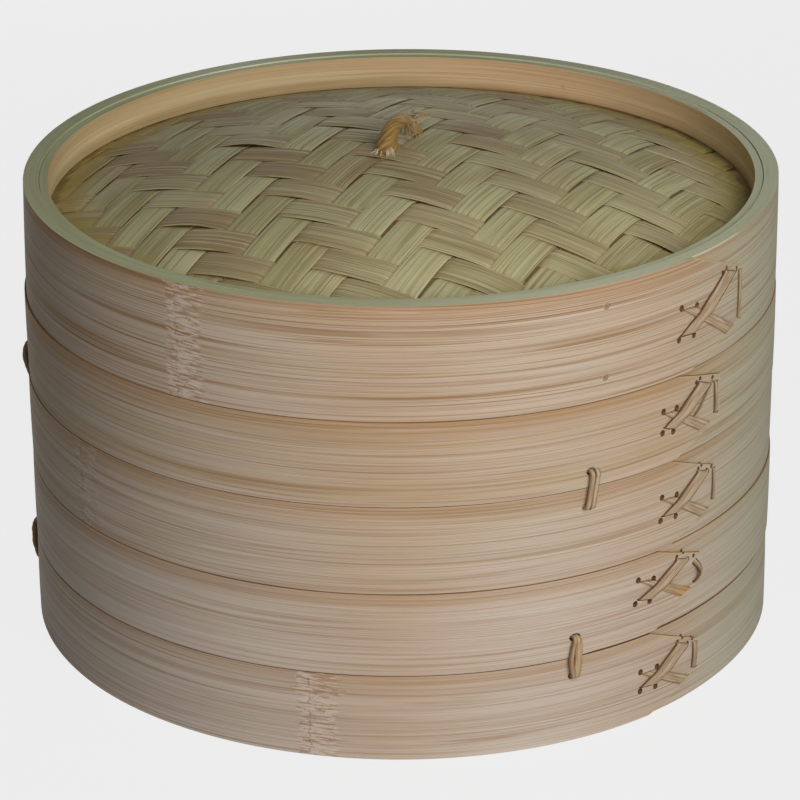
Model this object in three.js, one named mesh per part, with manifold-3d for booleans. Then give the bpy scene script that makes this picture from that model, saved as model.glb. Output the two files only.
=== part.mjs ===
// A bamboo steamer: two stacking tiers under a woven lid. Millimetres, +Z up, standing on z = 0 round the Z axis.
// Angles are in degrees, measured from the front (-Y) towards the right (+X).
import * as THREE from 'three';
import { mergeVertices } from 'three/addons/utils/BufferGeometryUtils.js';
import Module from 'manifold-3d';

const wasm = await Module();
wasm.setup();

// Bent hoops: every hoop is a long bamboo strip wound on itself.
const bandRadius = 127; // outside of the lid's band and of each tier's lower band
const bandThickness = 5.1; // all the turns of a band together
const upperBandProud = 0.5; // how far a tier's upper band stands out past the others
const stripThickness = 1.1; // one turn, which is the step at a band's lapped end
const lapRun = 34; // degrees beyond a lapped end over which its band steps up
const hoopGap = 0.3; // between two hoops, one inside the other
const hoopSegments = 60;

// Tiers, with heights above the tier's own foot
const tierHeight = 59.5;
const lowerBandHeight = 30.25;
const seamGap = 0.25; // between a tier's two bands
const wallThickness = 4.2;
const spigotHeight = 5.25; // how far a tier's wall enters the piece above
const spigotHeadroom = 0.25; // free height over that spigot

// The slatted floor of a tier
const ledgeHeight = 9;
const ledgeThickness = 4.4;
const slatThickness = 3;
const slatWidth = 15;
const slatCount = 11;
const slatMargin = 5.65; // from the outer slats' outer edges to the floor's edge
const floorGap = 0.5; // from the ends of the slats and bars to the wall
const barInset = 68.9; // from the floor's edge in to the middle of each cross bar
const barWidth = 10;
const barThickness = 4;
const notchGap = 0.3; // beside a cross bar in its notch
const retainerHeight = 24.5;
const retainerThickness = 3.9;

// Cane loops that bind a tier's two bands to its wall
const loopThickness = 1.9;
const loopSlack = 0.8; // how far a loop's outer run stands off the band that it comes out of
const loopSteps = 24;
const loopSides = 6;

// The lid, with heights above its own foot
const lidHeight = 38.75;
const rimDrop = 0.5; // from the band's top edge to the top of the inner hoop
const rimHoopThickness = 2.6;
const domeDrop = 12; // from the band's top edge down to the woven dome's upper face at its edge
const domeMargin = 0.6; // flat rim that shows inside the upper inner hoop
const domeRise = 20;
const domeThickness = 1.5;
const liningThickness = 1;
const liningSag = 0.5; // how much flatter the lining lies than the dome
const domeSegments = 40;
const domeRings = 5;

// The carrying loop on top of the lid
const handleSpan = 28; // between the middles of its legs
const handleHeight = 10.5; // over the dome
const handleThickness = 4.6;
const handleTurn = 63; // its line on the lid, from +X towards +Y
const handleCentre = { x: 0.5, y: 1.5 };
const handleTail = 7; // each leg's turned end under the lining
const handleBend = 3;
const handleSides = 8;
const handleSteps = 34;

// Bamboo pins through the lid's hoops
const pinRadius = 1.1;
const pinAngles = [30, 150, 270];
const upperPinSink = 1; // below the middle of the upper inner hoop
const lowerPinEdge = 0.4; // what is left of the lower inner hoop under the pins' holes

// Cane lacing that holds down the lapped end of a band
const strandThickness = 0.9;
const strandBite = 0.1; // how deep crossing strands press into each other
const pairWidth = 4.2; // two strands side by side
const strandSegments = 4;
const pegRadius = 1;
const pegSides = 6;
const pegLength = 4.5; // inside the band
const fitGap = 0.3; // round pegs, pins, loops and legs in their holes, and under what lies on a surface

// Each band's lapped end: its angle, the length of its arrow point, and how much of the band's height each slope
// of the point takes.
const lidLap = { end: 59.5, slope: 29, topCut: 0.3, footCut: 0.23 };
const upperTierLaps = {
  upper: { end: 53.8, slope: 22.5, topCut: 0.21, footCut: 0.3 },
  lower: { end: 53.5, slope: 23.5, topCut: 0.3, footCut: 0.27 },
};
const lowerTierLaps = {
  upper: { end: 50, slope: 22, topCut: 0.26, footCut: 0.36 },
  lower: { end: 50, slope: 23.5, topCut: 0.33, footCut: 0.25 },
};

// The holes of each band's lacing: two far from the lapped end and two near it, with lengths back from the end and
// heights as shares of the band's height.
const lidHoles = { far: 30.5, near: 7.5, lowFar: 0.32, highFar: 0.575, highNear: 0.735, lowNear: 0.17 };
const upperTierHoles = {
  upper: { far: 25.7, near: 8, lowFar: 0.365, highFar: 0.645, highNear: 0.825, lowNear: 0.25 },
  lower: { far: 24.6, near: 5.8, lowFar: 0.345, highFar: 0.61, highNear: 0.76, lowNear: 0.22 },
};
const lowerTierHoles = {
  upper: { far: 27, near: 6.2, lowFar: 0.44, highFar: 0.72, highNear: 0.8, lowNear: 0.315 },
  lower: { far: 24.2, near: 6, lowFar: 0.34, highFar: 0.585, highNear: 0.74, lowNear: 0.24 },
};

// Binding loops of each tier: the angle of the first, the turn to the next, the reach over and under the seam, the
// width, and how much higher each one sits than the first, since their holes are bored by eye.
const upperTierLoops = { first: 27.8, step: 123, rise: 6.6, drop: 7.6, width: 4, lifts: [0, 0, 2] };
const lowerTierLoops = { first: 25.5, step: 124.2, rise: 8.5, drop: 7.6, width: 4.8, lifts: [0, 0, -4] };

// Worked out from the sizes above
const wallRadius = bandRadius - bandThickness - hoopGap;
const wallInside = wallRadius - wallThickness;
const wallFoot = spigotHeight + spigotHeadroom;
const wallTop = tierHeight + spigotHeight;
const upperBandFoot = lowerBandHeight + seamGap;
const ledgeRadius = wallInside - hoopGap;
const slatFoot = wallFoot + ledgeHeight;
const floorTop = slatFoot + slatThickness;
const floorRadius = wallInside - floorGap;
const slatSpacing = (2 * (floorRadius - slatMargin) - slatWidth) / (slatCount - 1);
const barOffset = floorRadius - barInset;
const retainerInside = ledgeRadius - retainerThickness;
const domeSeat = lidHeight - domeDrop;
const domeFoot = domeSeat - domeThickness;
const liningFoot = domeFoot - liningThickness;
const domeRadius = wallRadius - rimHoopThickness - domeMargin;
const loopCorner = fitGap + loopThickness / 2; // a loop turns right at the face that it comes out of

const bandBamboo = new THREE.MeshStandardMaterial({ color: 0xd3b896, roughness: 0.62, metalness: 0 });
const wallBamboo = new THREE.MeshStandardMaterial({ color: 0xcfae80, roughness: 0.65, metalness: 0 });
const slatBamboo = new THREE.MeshStandardMaterial({ color: 0xd8bd8c, roughness: 0.6, metalness: 0 });
const wovenBamboo = new THREE.MeshStandardMaterial({ color: 0xa89c6c, roughness: 0.6, metalness: 0 });
const cane = new THREE.MeshStandardMaterial({ color: 0xb8935f, roughness: 0.7, metalness: 0 });
const handleCane = new THREE.MeshStandardMaterial({ color: 0xc08a4a, roughness: 0.65, metalness: 0 });
const pinBamboo = new THREE.MeshStandardMaterial({ color: 0x9a7247, roughness: 0.7, metalness: 0 });

const rad = THREE.MathUtils.degToRad;

// The point at a radius, angle and height.
function around(radius, angle, z = 0) {
  return new THREE.Vector3(radius * Math.sin(rad(angle)), -radius * Math.cos(rad(angle)), z);
}

// A solid for joining and cutting, from a closed geometry.
function solid(geometry) {
  const bare = geometry.clone();
  bare.deleteAttribute('normal');
  bare.deleteAttribute('uv');
  const merged = mergeVertices(bare, 1e-4);
  const corners = merged.index.array;
  const triVerts = [];
  for (let i = 0; i < corners.length; i += 3) {
    const [a, b, c] = [corners[i], corners[i + 1], corners[i + 2]];
    if (a !== b && b !== c && c !== a) triVerts.push(a, b, c);
  }
  return new wasm.Manifold(new wasm.Mesh({
    numProp: 3,
    vertProperties: Float32Array.from(merged.attributes.position.array),
    triVerts: Uint32Array.from(triVerts),
  }));
}

// A named mesh from a solid.
function piece(name, body, material) {
  const { vertProperties, triVerts } = body.getMesh();
  const geometry = new THREE.BufferGeometry();
  geometry.setAttribute('position', new THREE.BufferAttribute(vertProperties, 3));
  geometry.setIndex(new THREE.BufferAttribute(triVerts, 1));
  geometry.computeVertexNormals();
  const mesh = new THREE.Mesh(geometry, material);
  mesh.name = name;
  return mesh;
}

function cut(body, cutters) {
  return cutters.reduce((left, cutter) => left.subtract(cutter), body);
}

function join(bodies) {
  return bodies.reduce((left, body) => left.add(body));
}

// A plain hoop with a square section.
function hoop(inside, outside, foot, top) {
  const profile = [[outside, foot], [outside, top], [inside, top], [inside, foot], [outside, foot]];
  const points = profile.map(([r, z]) => new THREE.Vector2(r, z));
  return new THREE.LatheGeometry(points, hoopSegments).rotateX(Math.PI / 2);
}

// Puts a geometry made in (along, up, outwards) axes at an angle round the stack.
function placed(geometry, radius, angle, z = 0) {
  const out = around(1, angle);
  const up = new THREE.Vector3(0, 0, 1);
  const along = new THREE.Vector3().crossVectors(up, out);
  const matrix = new THREE.Matrix4().makeBasis(along, up, out).setPosition(around(radius, angle, z));
  return geometry.applyMatrix4(matrix);
}

// A round bar along the radius, from one radius out to another.
function radialBar(barRadius, from, to, angle, z, sides) {
  const bar = new THREE.CylinderGeometry(barRadius, barRadius, to - from, sides).rotateX(Math.PI / 2);
  return placed(bar, (from + to) / 2, angle, z);
}

// The corner radius of a faceted hole that leaves the fit gap round a bar.
function holeRadius(barRadius, sides) {
  return (barRadius + fitGap) / Math.cos(Math.PI / sides);
}

// A band's outside: round, but for a short run beyond the lapped end, where it comes up from under that end.
function turnRadius(radius, turned) {
  return radius - stripThickness * (1 - THREE.MathUtils.smoothstep(turned, 0, lapRun));
}

function bandOutside(radius, lap, angle) {
  return turnRadius(radius, THREE.MathUtils.euclideanModulo(angle - lap.end, 360));
}

function woundBand(radius, lap, foot, height) {
  const outline = new THREE.Shape();
  const opening = new THREE.Path();
  for (let i = 0; i <= hoopSegments; i++) {
    const share = i / hoopSegments;
    const p = around(turnRadius(radius, 360 * share), lap.end + 360 * share);
    if (i === 0) outline.moveTo(p.x, p.y);
    else outline.lineTo(p.x, p.y);
  }
  for (let i = 0; i < hoopSegments; i++) {
    const p = around(bandRadius - bandThickness, lap.end - (360 * i) / hoopSegments);
    if (i === 0) opening.moveTo(p.x, p.y);
    else opening.lineTo(p.x, p.y);
  }
  outline.closePath();
  opening.closePath();
  outline.holes.push(opening);
  const geometry = new THREE.ExtrudeGeometry(outline, { depth: height, bevelEnabled: false });
  return solid(geometry.translate(0, 0, foot)).subtract(arrowPoint(radius, lap, foot, height));
}

// What is trimmed off the outer turn's end, so that it comes to a blunt arrow point.
function arrowPoint(radius, lap, foot, height) {
  const margin = 2;
  const turn = hoop(radius - stripThickness, radius + margin, foot - margin, foot + height + margin);
  const skin = solid(turn.rotateZ(rad(lap.end)));
  const top = foot + height;
  const upper = new THREE.Shape();
  upper.moveTo(-lap.slope, top);
  upper.lineTo(0, top - height * lap.topCut);
  upper.lineTo(margin, top - height * lap.topCut);
  upper.lineTo(margin, top + margin);
  upper.lineTo(-lap.slope, top + margin);
  const lower = new THREE.Shape();
  lower.moveTo(-lap.slope, foot);
  lower.lineTo(-lap.slope, foot - margin);
  lower.lineTo(margin, foot - margin);
  lower.lineTo(margin, foot + height * lap.footCut);
  lower.lineTo(0, foot + height * lap.footCut);
  const sag = radius * (1 - Math.cos(lap.slope / radius));
  const depth = sag + stripThickness + 2 * margin;
  const prisms = [upper, lower].map((shape) => {
    const prism = new THREE.ExtrudeGeometry(shape, { depth, bevelEnabled: false });
    return solid(placed(prism, radius + margin - depth, lap.end));
  });
  return join(prisms).intersect(skin);
}

// The four places where a band's lacing goes through it.
function lacingPlaces(radius, lap, holes, foot, height) {
  const back = (length) => lap.end - THREE.MathUtils.radToDeg(length / radius);
  return {
    lowFar: { angle: back(holes.far), z: foot + height * holes.lowFar },
    highFar: { angle: back(holes.far), z: foot + height * holes.highFar },
    highNear: { angle: back(holes.near), z: foot + height * holes.highNear },
    lowNear: { angle: back(holes.near), z: foot + height * holes.lowNear },
  };
}

// A flat strand on a band between two holes: a thin box bent round the band.
function strand(radius, from, to, lift) {
  const run = radius * rad(to.angle - from.angle);
  const climb = to.z - from.z;
  const length = Math.hypot(run, climb) + pairWidth / 2;
  const box = new THREE.BoxGeometry(length, pairWidth, strandThickness, strandSegments, 1, 1);
  box.rotateZ(Math.atan2(climb, run));
  const spots = box.attributes.position;
  const middle = (from.angle + to.angle) / 2;
  for (let i = 0; i < spots.count; i++) {
    const angle = middle + THREE.MathUtils.radToDeg(spots.getX(i) / radius);
    const out = radius + lift + strandThickness / 2 + spots.getZ(i);
    const p = around(out, angle, (from.z + to.z) / 2 + spots.getY(i));
    spots.setXYZ(i, p.x, p.y, p.z);
  }
  return solid(box);
}

function lacing(radius, places) {
  const lowLift = fitGap;
  const highLift = fitGap + strandThickness - strandBite;
  const strands = [
    strand(radius, places.highFar, places.lowNear, lowLift),
    strand(radius, places.lowNear, places.highNear, lowLift),
    strand(radius, places.lowFar, places.highNear, highLift),
  ];
  const pegTop = { lowFar: highLift, highFar: lowLift, highNear: highLift, lowNear: lowLift };
  const pegs = Object.entries(places).map(([key, { angle, z }]) => {
    const outer = radius + pegTop[key] + strandThickness / 2;
    return solid(radialBar(pegRadius, radius - pegLength, outer, angle, z, pegSides));
  });
  return join([...strands, ...pegs]);
}

function lacingCutters(radius, places) {
  const from = bandRadius - bandThickness - fitGap;
  const to = radius + fitGap;
  const size = holeRadius(pegRadius, pegSides);
  return Object.values(places).map(({ angle, z }) => solid(radialBar(size, from, to, angle, z, pegSides)));
}

// A closed cane loop through the bands, the wall and the retaining hoop, made in the XZ plane with +X outwards.
class LoopPath extends THREE.Curve {
  constructor(left, right, foot, top) {
    super();
    const corner = loopCorner;
    this.flat = new THREE.Path();
    this.flat.moveTo(right, foot + corner);
    this.flat.lineTo(right, top - corner);
    this.flat.absarc(right - corner, top - corner, corner, 0, Math.PI / 2);
    this.flat.lineTo(left + corner, top);
    this.flat.absarc(left + corner, top - corner, corner, Math.PI / 2, Math.PI);
    this.flat.lineTo(left, foot + corner);
    this.flat.absarc(left + corner, foot + corner, corner, Math.PI, 1.5 * Math.PI);
    this.flat.lineTo(right - corner, foot);
    this.flat.absarc(right - corner, foot + corner, corner, 1.5 * Math.PI, 2 * Math.PI);
  }

  getPoint(t) {
    const p = this.flat.getPointAt(t);
    return new THREE.Vector3(p.x, 0, p.y);
  }
}

function loopHeights(loops, i) {
  const inset = loopThickness / 2;
  const lift = loops.lifts[i];
  return { foot: lowerBandHeight - loops.drop + inset + lift, top: upperBandFoot + loops.rise - inset + lift };
}

function bindingLoop(loops, angle, i) {
  const { foot, top } = loopHeights(loops, i);
  const inner = retainerInside - fitGap - loopThickness / 2;
  const outer = bandRadius + upperBandProud + fitGap + loopSlack + loopThickness / 2;
  const path = new LoopPath(inner, outer, foot, top);
  const tube = new THREE.TubeGeometry(path, loopSteps, loopThickness / 2, loopSides, true);
  tube.scale(1, loops.width / loopThickness, 1);
  return solid(tube.rotateZ(rad(angle - 90)));
}

function loopCutters(loops, angles) {
  const from = retainerInside - fitGap;
  const to = bandRadius + upperBandProud + fitGap;
  const cutters = [];
  for (const [i, angle] of angles.entries()) {
    const { foot, top } = loopHeights(loops, i);
    for (const z of [foot, top]) {
      const hole = new THREE.CylinderGeometry(1, 1, to - from, loopSides).rotateX(Math.PI / 2);
      hole.scale(holeRadius(loops.width / 2, loopSides), holeRadius(loopThickness / 2, loopSides), 1);
      cutters.push(solid(placed(hole, (from + to) / 2, angle, z)));
    }
  }
  return cutters;
}

// A flat stick across the floor, its ends cut to the round wall, running along +X at a distance to one side.
function floorStick(offset, width, thickness, foot, radius) {
  const reach = (side) => Math.sqrt(radius ** 2 - side ** 2);
  const [near, far] = [offset - width / 2, offset + width / 2];
  const outline = new THREE.Shape();
  outline.moveTo(-reach(near), near);
  outline.lineTo(reach(near), near);
  outline.lineTo(reach(far), far);
  outline.lineTo(-reach(far), far);
  outline.closePath();
  return new THREE.ExtrudeGeometry(outline, { depth: thickness, bevelEnabled: false }).translate(0, 0, foot);
}

// A cross bar under the slats, or with some extra all round the notch for it, open at the top.
function crossBar(side, extra) {
  const width = barWidth + 2 * extra;
  const foot = slatFoot - barThickness;
  const bar = floorStick(side * barOffset, width, barThickness + extra, foot, floorRadius + extra);
  return solid(bar.rotateZ(Math.PI / 2));
}

function tier(name, laps, holes, loops) {
  const group = new THREE.Group();
  const angles = [0, 1, 2].map((i) => loops.first + i * loops.step);
  const loopHoles = loopCutters(loops, angles);

  const wall = solid(hoop(wallInside, wallRadius, wallFoot, wallTop));
  group.add(piece(`${name}_wall_hoop`, cut(wall, loopHoles), wallBamboo));

  const bands = {
    upper: { radius: bandRadius + upperBandProud, foot: upperBandFoot, height: tierHeight - upperBandFoot },
    lower: { radius: bandRadius, foot: 0, height: lowerBandHeight },
  };
  for (const [key, { radius, foot, height }] of Object.entries(bands)) {
    const places = lacingPlaces(radius, laps[key], holes[key], foot, height);
    const band = woundBand(radius, laps[key], foot, height);
    const drilled = cut(band, [...loopHoles, ...lacingCutters(radius, places)]);
    group.add(piece(`${name}_${key}_band`, drilled, bandBamboo));
    group.add(piece(`${name}_${key}_lacing`, lacing(radius, places), cane));
  }

  const notches = [crossBar(-1, notchGap), crossBar(1, notchGap)];
  const ledge = solid(hoop(ledgeRadius - ledgeThickness, ledgeRadius, wallFoot, slatFoot));
  group.add(piece(`${name}_ledge_hoop`, cut(ledge, notches), wallBamboo));
  group.add(piece(`${name}_cross_bar_left`, crossBar(-1, 0), slatBamboo));
  group.add(piece(`${name}_cross_bar_right`, crossBar(1, 0), slatBamboo));

  for (let i = 0; i < slatCount; i++) {
    const offset = (i - (slatCount - 1) / 2) * slatSpacing;
    const slat = solid(floorStick(offset, slatWidth, slatThickness, slatFoot, floorRadius));
    group.add(piece(`${name}_slat_${i + 1}`, slat, slatBamboo));
  }

  const retainer = solid(hoop(retainerInside, ledgeRadius, floorTop, floorTop + retainerHeight));
  group.add(piece(`${name}_retaining_hoop`, cut(retainer, loopHoles), wallBamboo));

  angles.forEach((angle, i) => group.add(piece(`${name}_binding_loop_${i + 1}`, bindingLoop(loops, angle, i), cane)));
  return group;
}

// A shallow round cap's height over its edge, at a distance from the axis.
function capHeight(rise, distance) {
  const sphere = (domeRadius ** 2 + rise ** 2) / (2 * rise);
  return Math.sqrt(sphere ** 2 - distance ** 2) - (sphere - rise);
}

// A domed sheet with a flat rim round it, which the lid's two inner hoops grip.
function domedSheet(foot, thickness, rise) {
  const profile = [];
  for (let i = 0; i <= domeRings; i++) {
    const r = (domeRadius * i) / domeRings;
    profile.push(new THREE.Vector2(r, foot + capHeight(rise, r)));
  }
  const rimRadius = wallRadius - fitGap;
  const underside = [...profile, new THREE.Vector2(rimRadius, foot)];
  const upside = underside.map((p) => new THREE.Vector2(p.x, p.y + thickness)).reverse();
  return solid(new THREE.LatheGeometry([...underside, ...upside], domeSegments).rotateX(Math.PI / 2));
}

// A cubic curve with both its inner points at one height rises to this share of it.
const archShare = 3 / 4;

// The carrying loop's path in the XZ plane: up through the lid, over in an arch, and down again.
function handlePath(archFoot, tailHeight) {
  const side = handleSpan / 2;
  const at = (x, z) => new THREE.Vector3(x, 0, z);
  const crown = (handleHeight - handleThickness / 2) / archShare;
  const path = new THREE.CurvePath();
  const inner = side - handleBend - handleTail;
  path.add(new THREE.LineCurve3(at(-inner, tailHeight), at(-side + handleBend, tailHeight)));
  path.add(new THREE.QuadraticBezierCurve3(
    at(-side + handleBend, tailHeight), at(-side, tailHeight), at(-side, tailHeight + handleBend),
  ));
  path.add(new THREE.LineCurve3(at(-side, tailHeight + handleBend), at(-side, archFoot)));
  path.add(new THREE.CubicBezierCurve3(
    at(-side, archFoot), at(-side, archFoot + crown), at(side, archFoot + crown), at(side, archFoot),
  ));
  path.add(new THREE.LineCurve3(at(side, archFoot), at(side, tailHeight + handleBend)));
  path.add(new THREE.QuadraticBezierCurve3(
    at(side, tailHeight + handleBend), at(side, tailHeight), at(side - handleBend, tailHeight),
  ));
  path.add(new THREE.LineCurve3(at(side - handleBend, tailHeight), at(inner, tailHeight)));
  return path;
}

function onLid(geometry) {
  return solid(geometry.rotateZ(rad(handleTurn)).translate(handleCentre.x, handleCentre.y, 0));
}

function handle() {
  const legDistance = handleSpan / 2 + Math.hypot(handleCentre.x, handleCentre.y);
  const liningUnder = liningFoot + capHeight(domeRise - liningSag, legDistance);
  const tailHeight = liningUnder - fitGap - handleThickness / 2;
  const section = new THREE.Shape();
  for (let i = 0; i < handleSides; i++) {
    const turn = (2 * Math.PI * i) / handleSides;
    const [x, y] = [(handleThickness / 2) * Math.cos(turn), (handleThickness / 2) * Math.sin(turn)];
    if (i === 0) section.moveTo(x, y);
    else section.lineTo(x, y);
  }
  section.closePath();
  const path = handlePath(domeSeat + domeRise, tailHeight);
  return onLid(new THREE.ExtrudeGeometry(section, { steps: handleSteps, bevelEnabled: false, extrudePath: path }));
}

function handleCutters() {
  return [-1, 1].map((side) => {
    const radius = holeRadius(handleThickness / 2, handleSides);
    const hole = new THREE.CylinderGeometry(radius, radius, 2 * domeSeat, handleSides).rotateX(Math.PI / 2);
    return onLid(hole.translate((side * handleSpan) / 2, 0, domeSeat + domeRise));
  });
}

function lid() {
  const group = new THREE.Group();
  const places = lacingPlaces(bandRadius, lidLap, lidHoles, 0, lidHeight);
  const rimTop = lidHeight - rimDrop;
  const size = holeRadius(pinRadius, pegSides);
  const rows = [
    { name: 'upper', z: (domeSeat + rimTop) / 2 - upperPinSink, inside: wallRadius - rimHoopThickness },
    { name: 'lower', z: wallFoot + lowerPinEdge + size, inside: wallInside },
  ];
  const pinHoles = [];
  const pins = [];
  for (const { name, z, inside } of rows) {
    pinAngles.forEach((angle, i) => {
      const outside = bandOutside(bandRadius, lidLap, angle);
      pinHoles.push(solid(radialBar(size, inside - fitGap, outside + bandThickness, angle, z, pegSides)));
      const pin = solid(radialBar(pinRadius, inside, outside, angle, z, pegSides));
      pins.push(piece(`lid_${name}_pin_${i + 1}`, pin, pinBamboo));
    });
  }

  const band = woundBand(bandRadius, lidLap, 0, lidHeight);
  const drilled = cut(band, [...pinHoles, ...lacingCutters(bandRadius, places)]);
  group.add(piece('lid_outer_hoop', drilled, bandBamboo));
  group.add(piece('lid_lacing', lacing(bandRadius, places), cane));

  const rimHoop = solid(hoop(wallRadius - rimHoopThickness, wallRadius, domeSeat, rimTop));
  group.add(piece('lid_upper_inner_hoop', cut(rimHoop, pinHoles), wallBamboo));
  const seatHoop = solid(hoop(wallInside, wallRadius, wallFoot, liningFoot));
  group.add(piece('lid_lower_inner_hoop', cut(seatHoop, pinHoles), wallBamboo));

  const dome = domedSheet(domeFoot, domeThickness, domeRise);
  const lining = domedSheet(liningFoot, liningThickness, domeRise - liningSag);
  group.add(piece('lid_woven_dome', cut(dome, handleCutters()), wovenBamboo));
  group.add(piece('lid_dome_lining', cut(lining, handleCutters()), wovenBamboo));
  group.add(piece('lid_handle_loop', handle(), handleCane));
  group.add(...pins);
  return group;
}

const steamer = new THREE.Group();
const lowerTier = tier('lower_tier', lowerTierLaps, lowerTierHoles, lowerTierLoops);
const upperTier = tier('upper_tier', upperTierLaps, upperTierHoles, upperTierLoops);
upperTier.position.z = tierHeight;
const lidGroup = lid();
lidGroup.position.z = 2 * tierHeight;
steamer.add(lowerTier, upperTier, lidGroup);

export default steamer;
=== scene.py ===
# %% [markdown]
# # A two-tier bamboo steamer
#
# Bamboo splits cleanly along its fibres and hardly at all across them, so nearly everything here is a long
# thin strip: wound into hoops, woven into a lid, laid as a floor or threaded as lacing. The whole lesson is
# about one idea, the swept strip, used with different paths, and about a bamboo skin whose pattern follows
# the strip's length.

# %% Start
import math

import bpy
import numpy as np
from mathutils import Matrix, Vector
from mathutils.bvhtree import BVHTree
from mathutils.interpolate import poly_3d_calc


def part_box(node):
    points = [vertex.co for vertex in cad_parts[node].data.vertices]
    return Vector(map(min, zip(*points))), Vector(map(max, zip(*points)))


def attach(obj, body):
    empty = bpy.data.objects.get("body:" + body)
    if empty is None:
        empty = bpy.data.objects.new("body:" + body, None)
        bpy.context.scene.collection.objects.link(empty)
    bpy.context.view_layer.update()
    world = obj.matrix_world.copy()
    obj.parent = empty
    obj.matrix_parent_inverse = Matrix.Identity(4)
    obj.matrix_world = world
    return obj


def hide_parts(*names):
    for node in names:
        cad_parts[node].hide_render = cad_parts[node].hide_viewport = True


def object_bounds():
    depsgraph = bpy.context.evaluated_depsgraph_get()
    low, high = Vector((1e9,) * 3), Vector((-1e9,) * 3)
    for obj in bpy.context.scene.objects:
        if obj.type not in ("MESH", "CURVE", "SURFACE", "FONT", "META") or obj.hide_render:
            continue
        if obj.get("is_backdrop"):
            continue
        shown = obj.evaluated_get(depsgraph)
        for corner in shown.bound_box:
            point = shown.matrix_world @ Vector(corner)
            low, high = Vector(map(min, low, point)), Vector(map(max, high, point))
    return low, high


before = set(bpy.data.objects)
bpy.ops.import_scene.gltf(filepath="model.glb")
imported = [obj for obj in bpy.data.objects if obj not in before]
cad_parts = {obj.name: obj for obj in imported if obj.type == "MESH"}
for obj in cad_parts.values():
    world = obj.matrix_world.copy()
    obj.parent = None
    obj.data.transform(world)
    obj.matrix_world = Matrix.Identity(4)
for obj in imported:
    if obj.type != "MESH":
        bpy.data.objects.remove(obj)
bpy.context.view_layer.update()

MM = 0.001

# %% [markdown]
# ## Sizes
#
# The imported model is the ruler. Its nodes give the heights of the stack, and the numbers below give the
# radii of its hoops. Lengths are in millimetres here, and become metres when a mesh is built. Angles are in
# degrees, measured from the front (-Y) towards the right (+X).

# %% Sizes
def measured(node):
    """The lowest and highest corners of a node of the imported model, in millimetres."""
    low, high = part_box(node)
    return np.array(low) / MM, np.array(high) / MM


def heights(node):
    """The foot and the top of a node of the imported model."""
    low, high = measured(node)
    return low[2], high[2]


TIERS = ("lower_tier", "upper_tier")
BAND_INSIDE = 121.9
BAND_OUTSIDE = 127.0
UPPER_BAND_OUTSIDE = 127.5
BAND_LAYERS = 5
WALL_OUTSIDE = 121.6
WALL_INSIDE = 117.4
RIM_HOOP_OUTSIDE = 121.84
RIM_HOOP_INSIDE = 119.0
LEDGE_OUTSIDE = 117.1
LEDGE_INSIDE = 112.7
RETAINER_INSIDE = 113.2
FLOOR_RADIUS = 116.8
SLAT_WIDTH = 14.8
BAR_WIDTH = 9.8
PIN_ANGLES = (30.0, 150.0, 270.0)
PIN_HEIGHTS = {"upper": 150.5, "lower": 126.5}
print("the stack stands", heights("lid_outer_hoop")[1], "mm high at the rim")

# %% [markdown]
# ## Points round the stack
#
# A few helpers serve every piece: points at a radius, angle and height, an ease that starts and ends gently,
# a wobble that closes on itself after a full turn, and repeatable chance, so that the same script always
# makes the same steamer.

# %% Points round the stack
def around(radius, angle, z):
    """Points at a radius, angle and height: x is radius times sine, and y is minus radius times cosine."""
    turn = np.radians(angle)
    return np.stack(np.broadcast_arrays(radius * np.sin(turn), -radius * np.cos(turn), z), -1)


def radial_axes(angle):
    """The level directions at an angle: out along the radius, and sideways along the circle."""
    return around(1.0, angle, 0.0), around(1.0, angle + 90, 0.0)


UP = np.array([0.0, 0.0, 1.0])


def smooth(t):
    """Rises from 0 to 1 as t does, by three t squared minus two t cubed."""
    t = np.clip(t, 0, 1)
    return t * t * (3 - 2 * t)


def bump(angle, centre, width):
    """A bell of height 1 round an angle: e to minus the squared distance over the squared width."""
    away = np.mod(angle - centre + 180, 360) - 180
    return np.exp(-((away / width) ** 2))


def ripple(angle, seed, orders=(2, 3, 5, 8)):
    """A sum of whole-numbered sine waves of the angle, with weights and phases by a seed, from -1 to 1."""
    rng = np.random.default_rng(seed)
    weights = rng.uniform(0.5, 1.0, len(orders))
    phases = rng.uniform(0, 2 * np.pi, len(orders))
    turn = np.radians(angle)
    waves = [w * np.sin(order * turn + phase) for w, order, phase in zip(weights, orders, phases)]
    return sum(waves) / weights.sum()


CHANCE_FACTORS = (12.9898, 78.233, 37.719, 4.581)


def chance(*keys):
    """A repeatable number from 0 to 1 for whole numbers: the fraction left by a large multiple of a sine."""
    total = sum(np.asarray(key, float) * factor for key, factor in zip(keys, CHANCE_FACTORS))
    return np.mod(np.sin(total) * 43758.5453, 1.0)


# %% [markdown]
# ## Paths and sections
#
# Most pieces are a section carried along a path, so both need a little geometry: how far along a path each
# point lies, where its directions point once their length is made one, and a section's outline from its
# angle. A power below 1 pushes a round outline out towards its corners, and makes an ellipse more like a
# rectangle.

# %% Paths and sections
def run_length(points):
    """The distance gone at each point of a path: the running sum of the steps between the points."""
    steps = np.linalg.norm(np.diff(points, axis=0), axis=1)
    return np.concatenate([[0], np.cumsum(steps)])


def at_lengths(points, spots):
    """The places on a path at given distances from its start, by straight lines between its points."""
    length = run_length(points)
    return np.stack([np.interp(spots, length, points[:, k]) for k in range(points.shape[1])], -1)


def unit(vectors):
    """The same directions with a length of one: each vector over its own length."""
    return vectors / np.linalg.norm(vectors, axis=-1, keepdims=True)


def turned_left(vectors):
    """Flat vectors after a quarter turn: minus the second part, then the first."""
    return np.stack([-vectors[:, 1], vectors[:, 0]], -1)


def full_turn(count):
    """Equal steps of an angle once round, in radians."""
    return np.linspace(0, 2 * np.pi, count, endpoint=False)


def squared(wave, power):
    """A wave with its sign kept and its size raised to a power."""
    return np.sign(wave) * np.abs(wave) ** power


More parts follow.
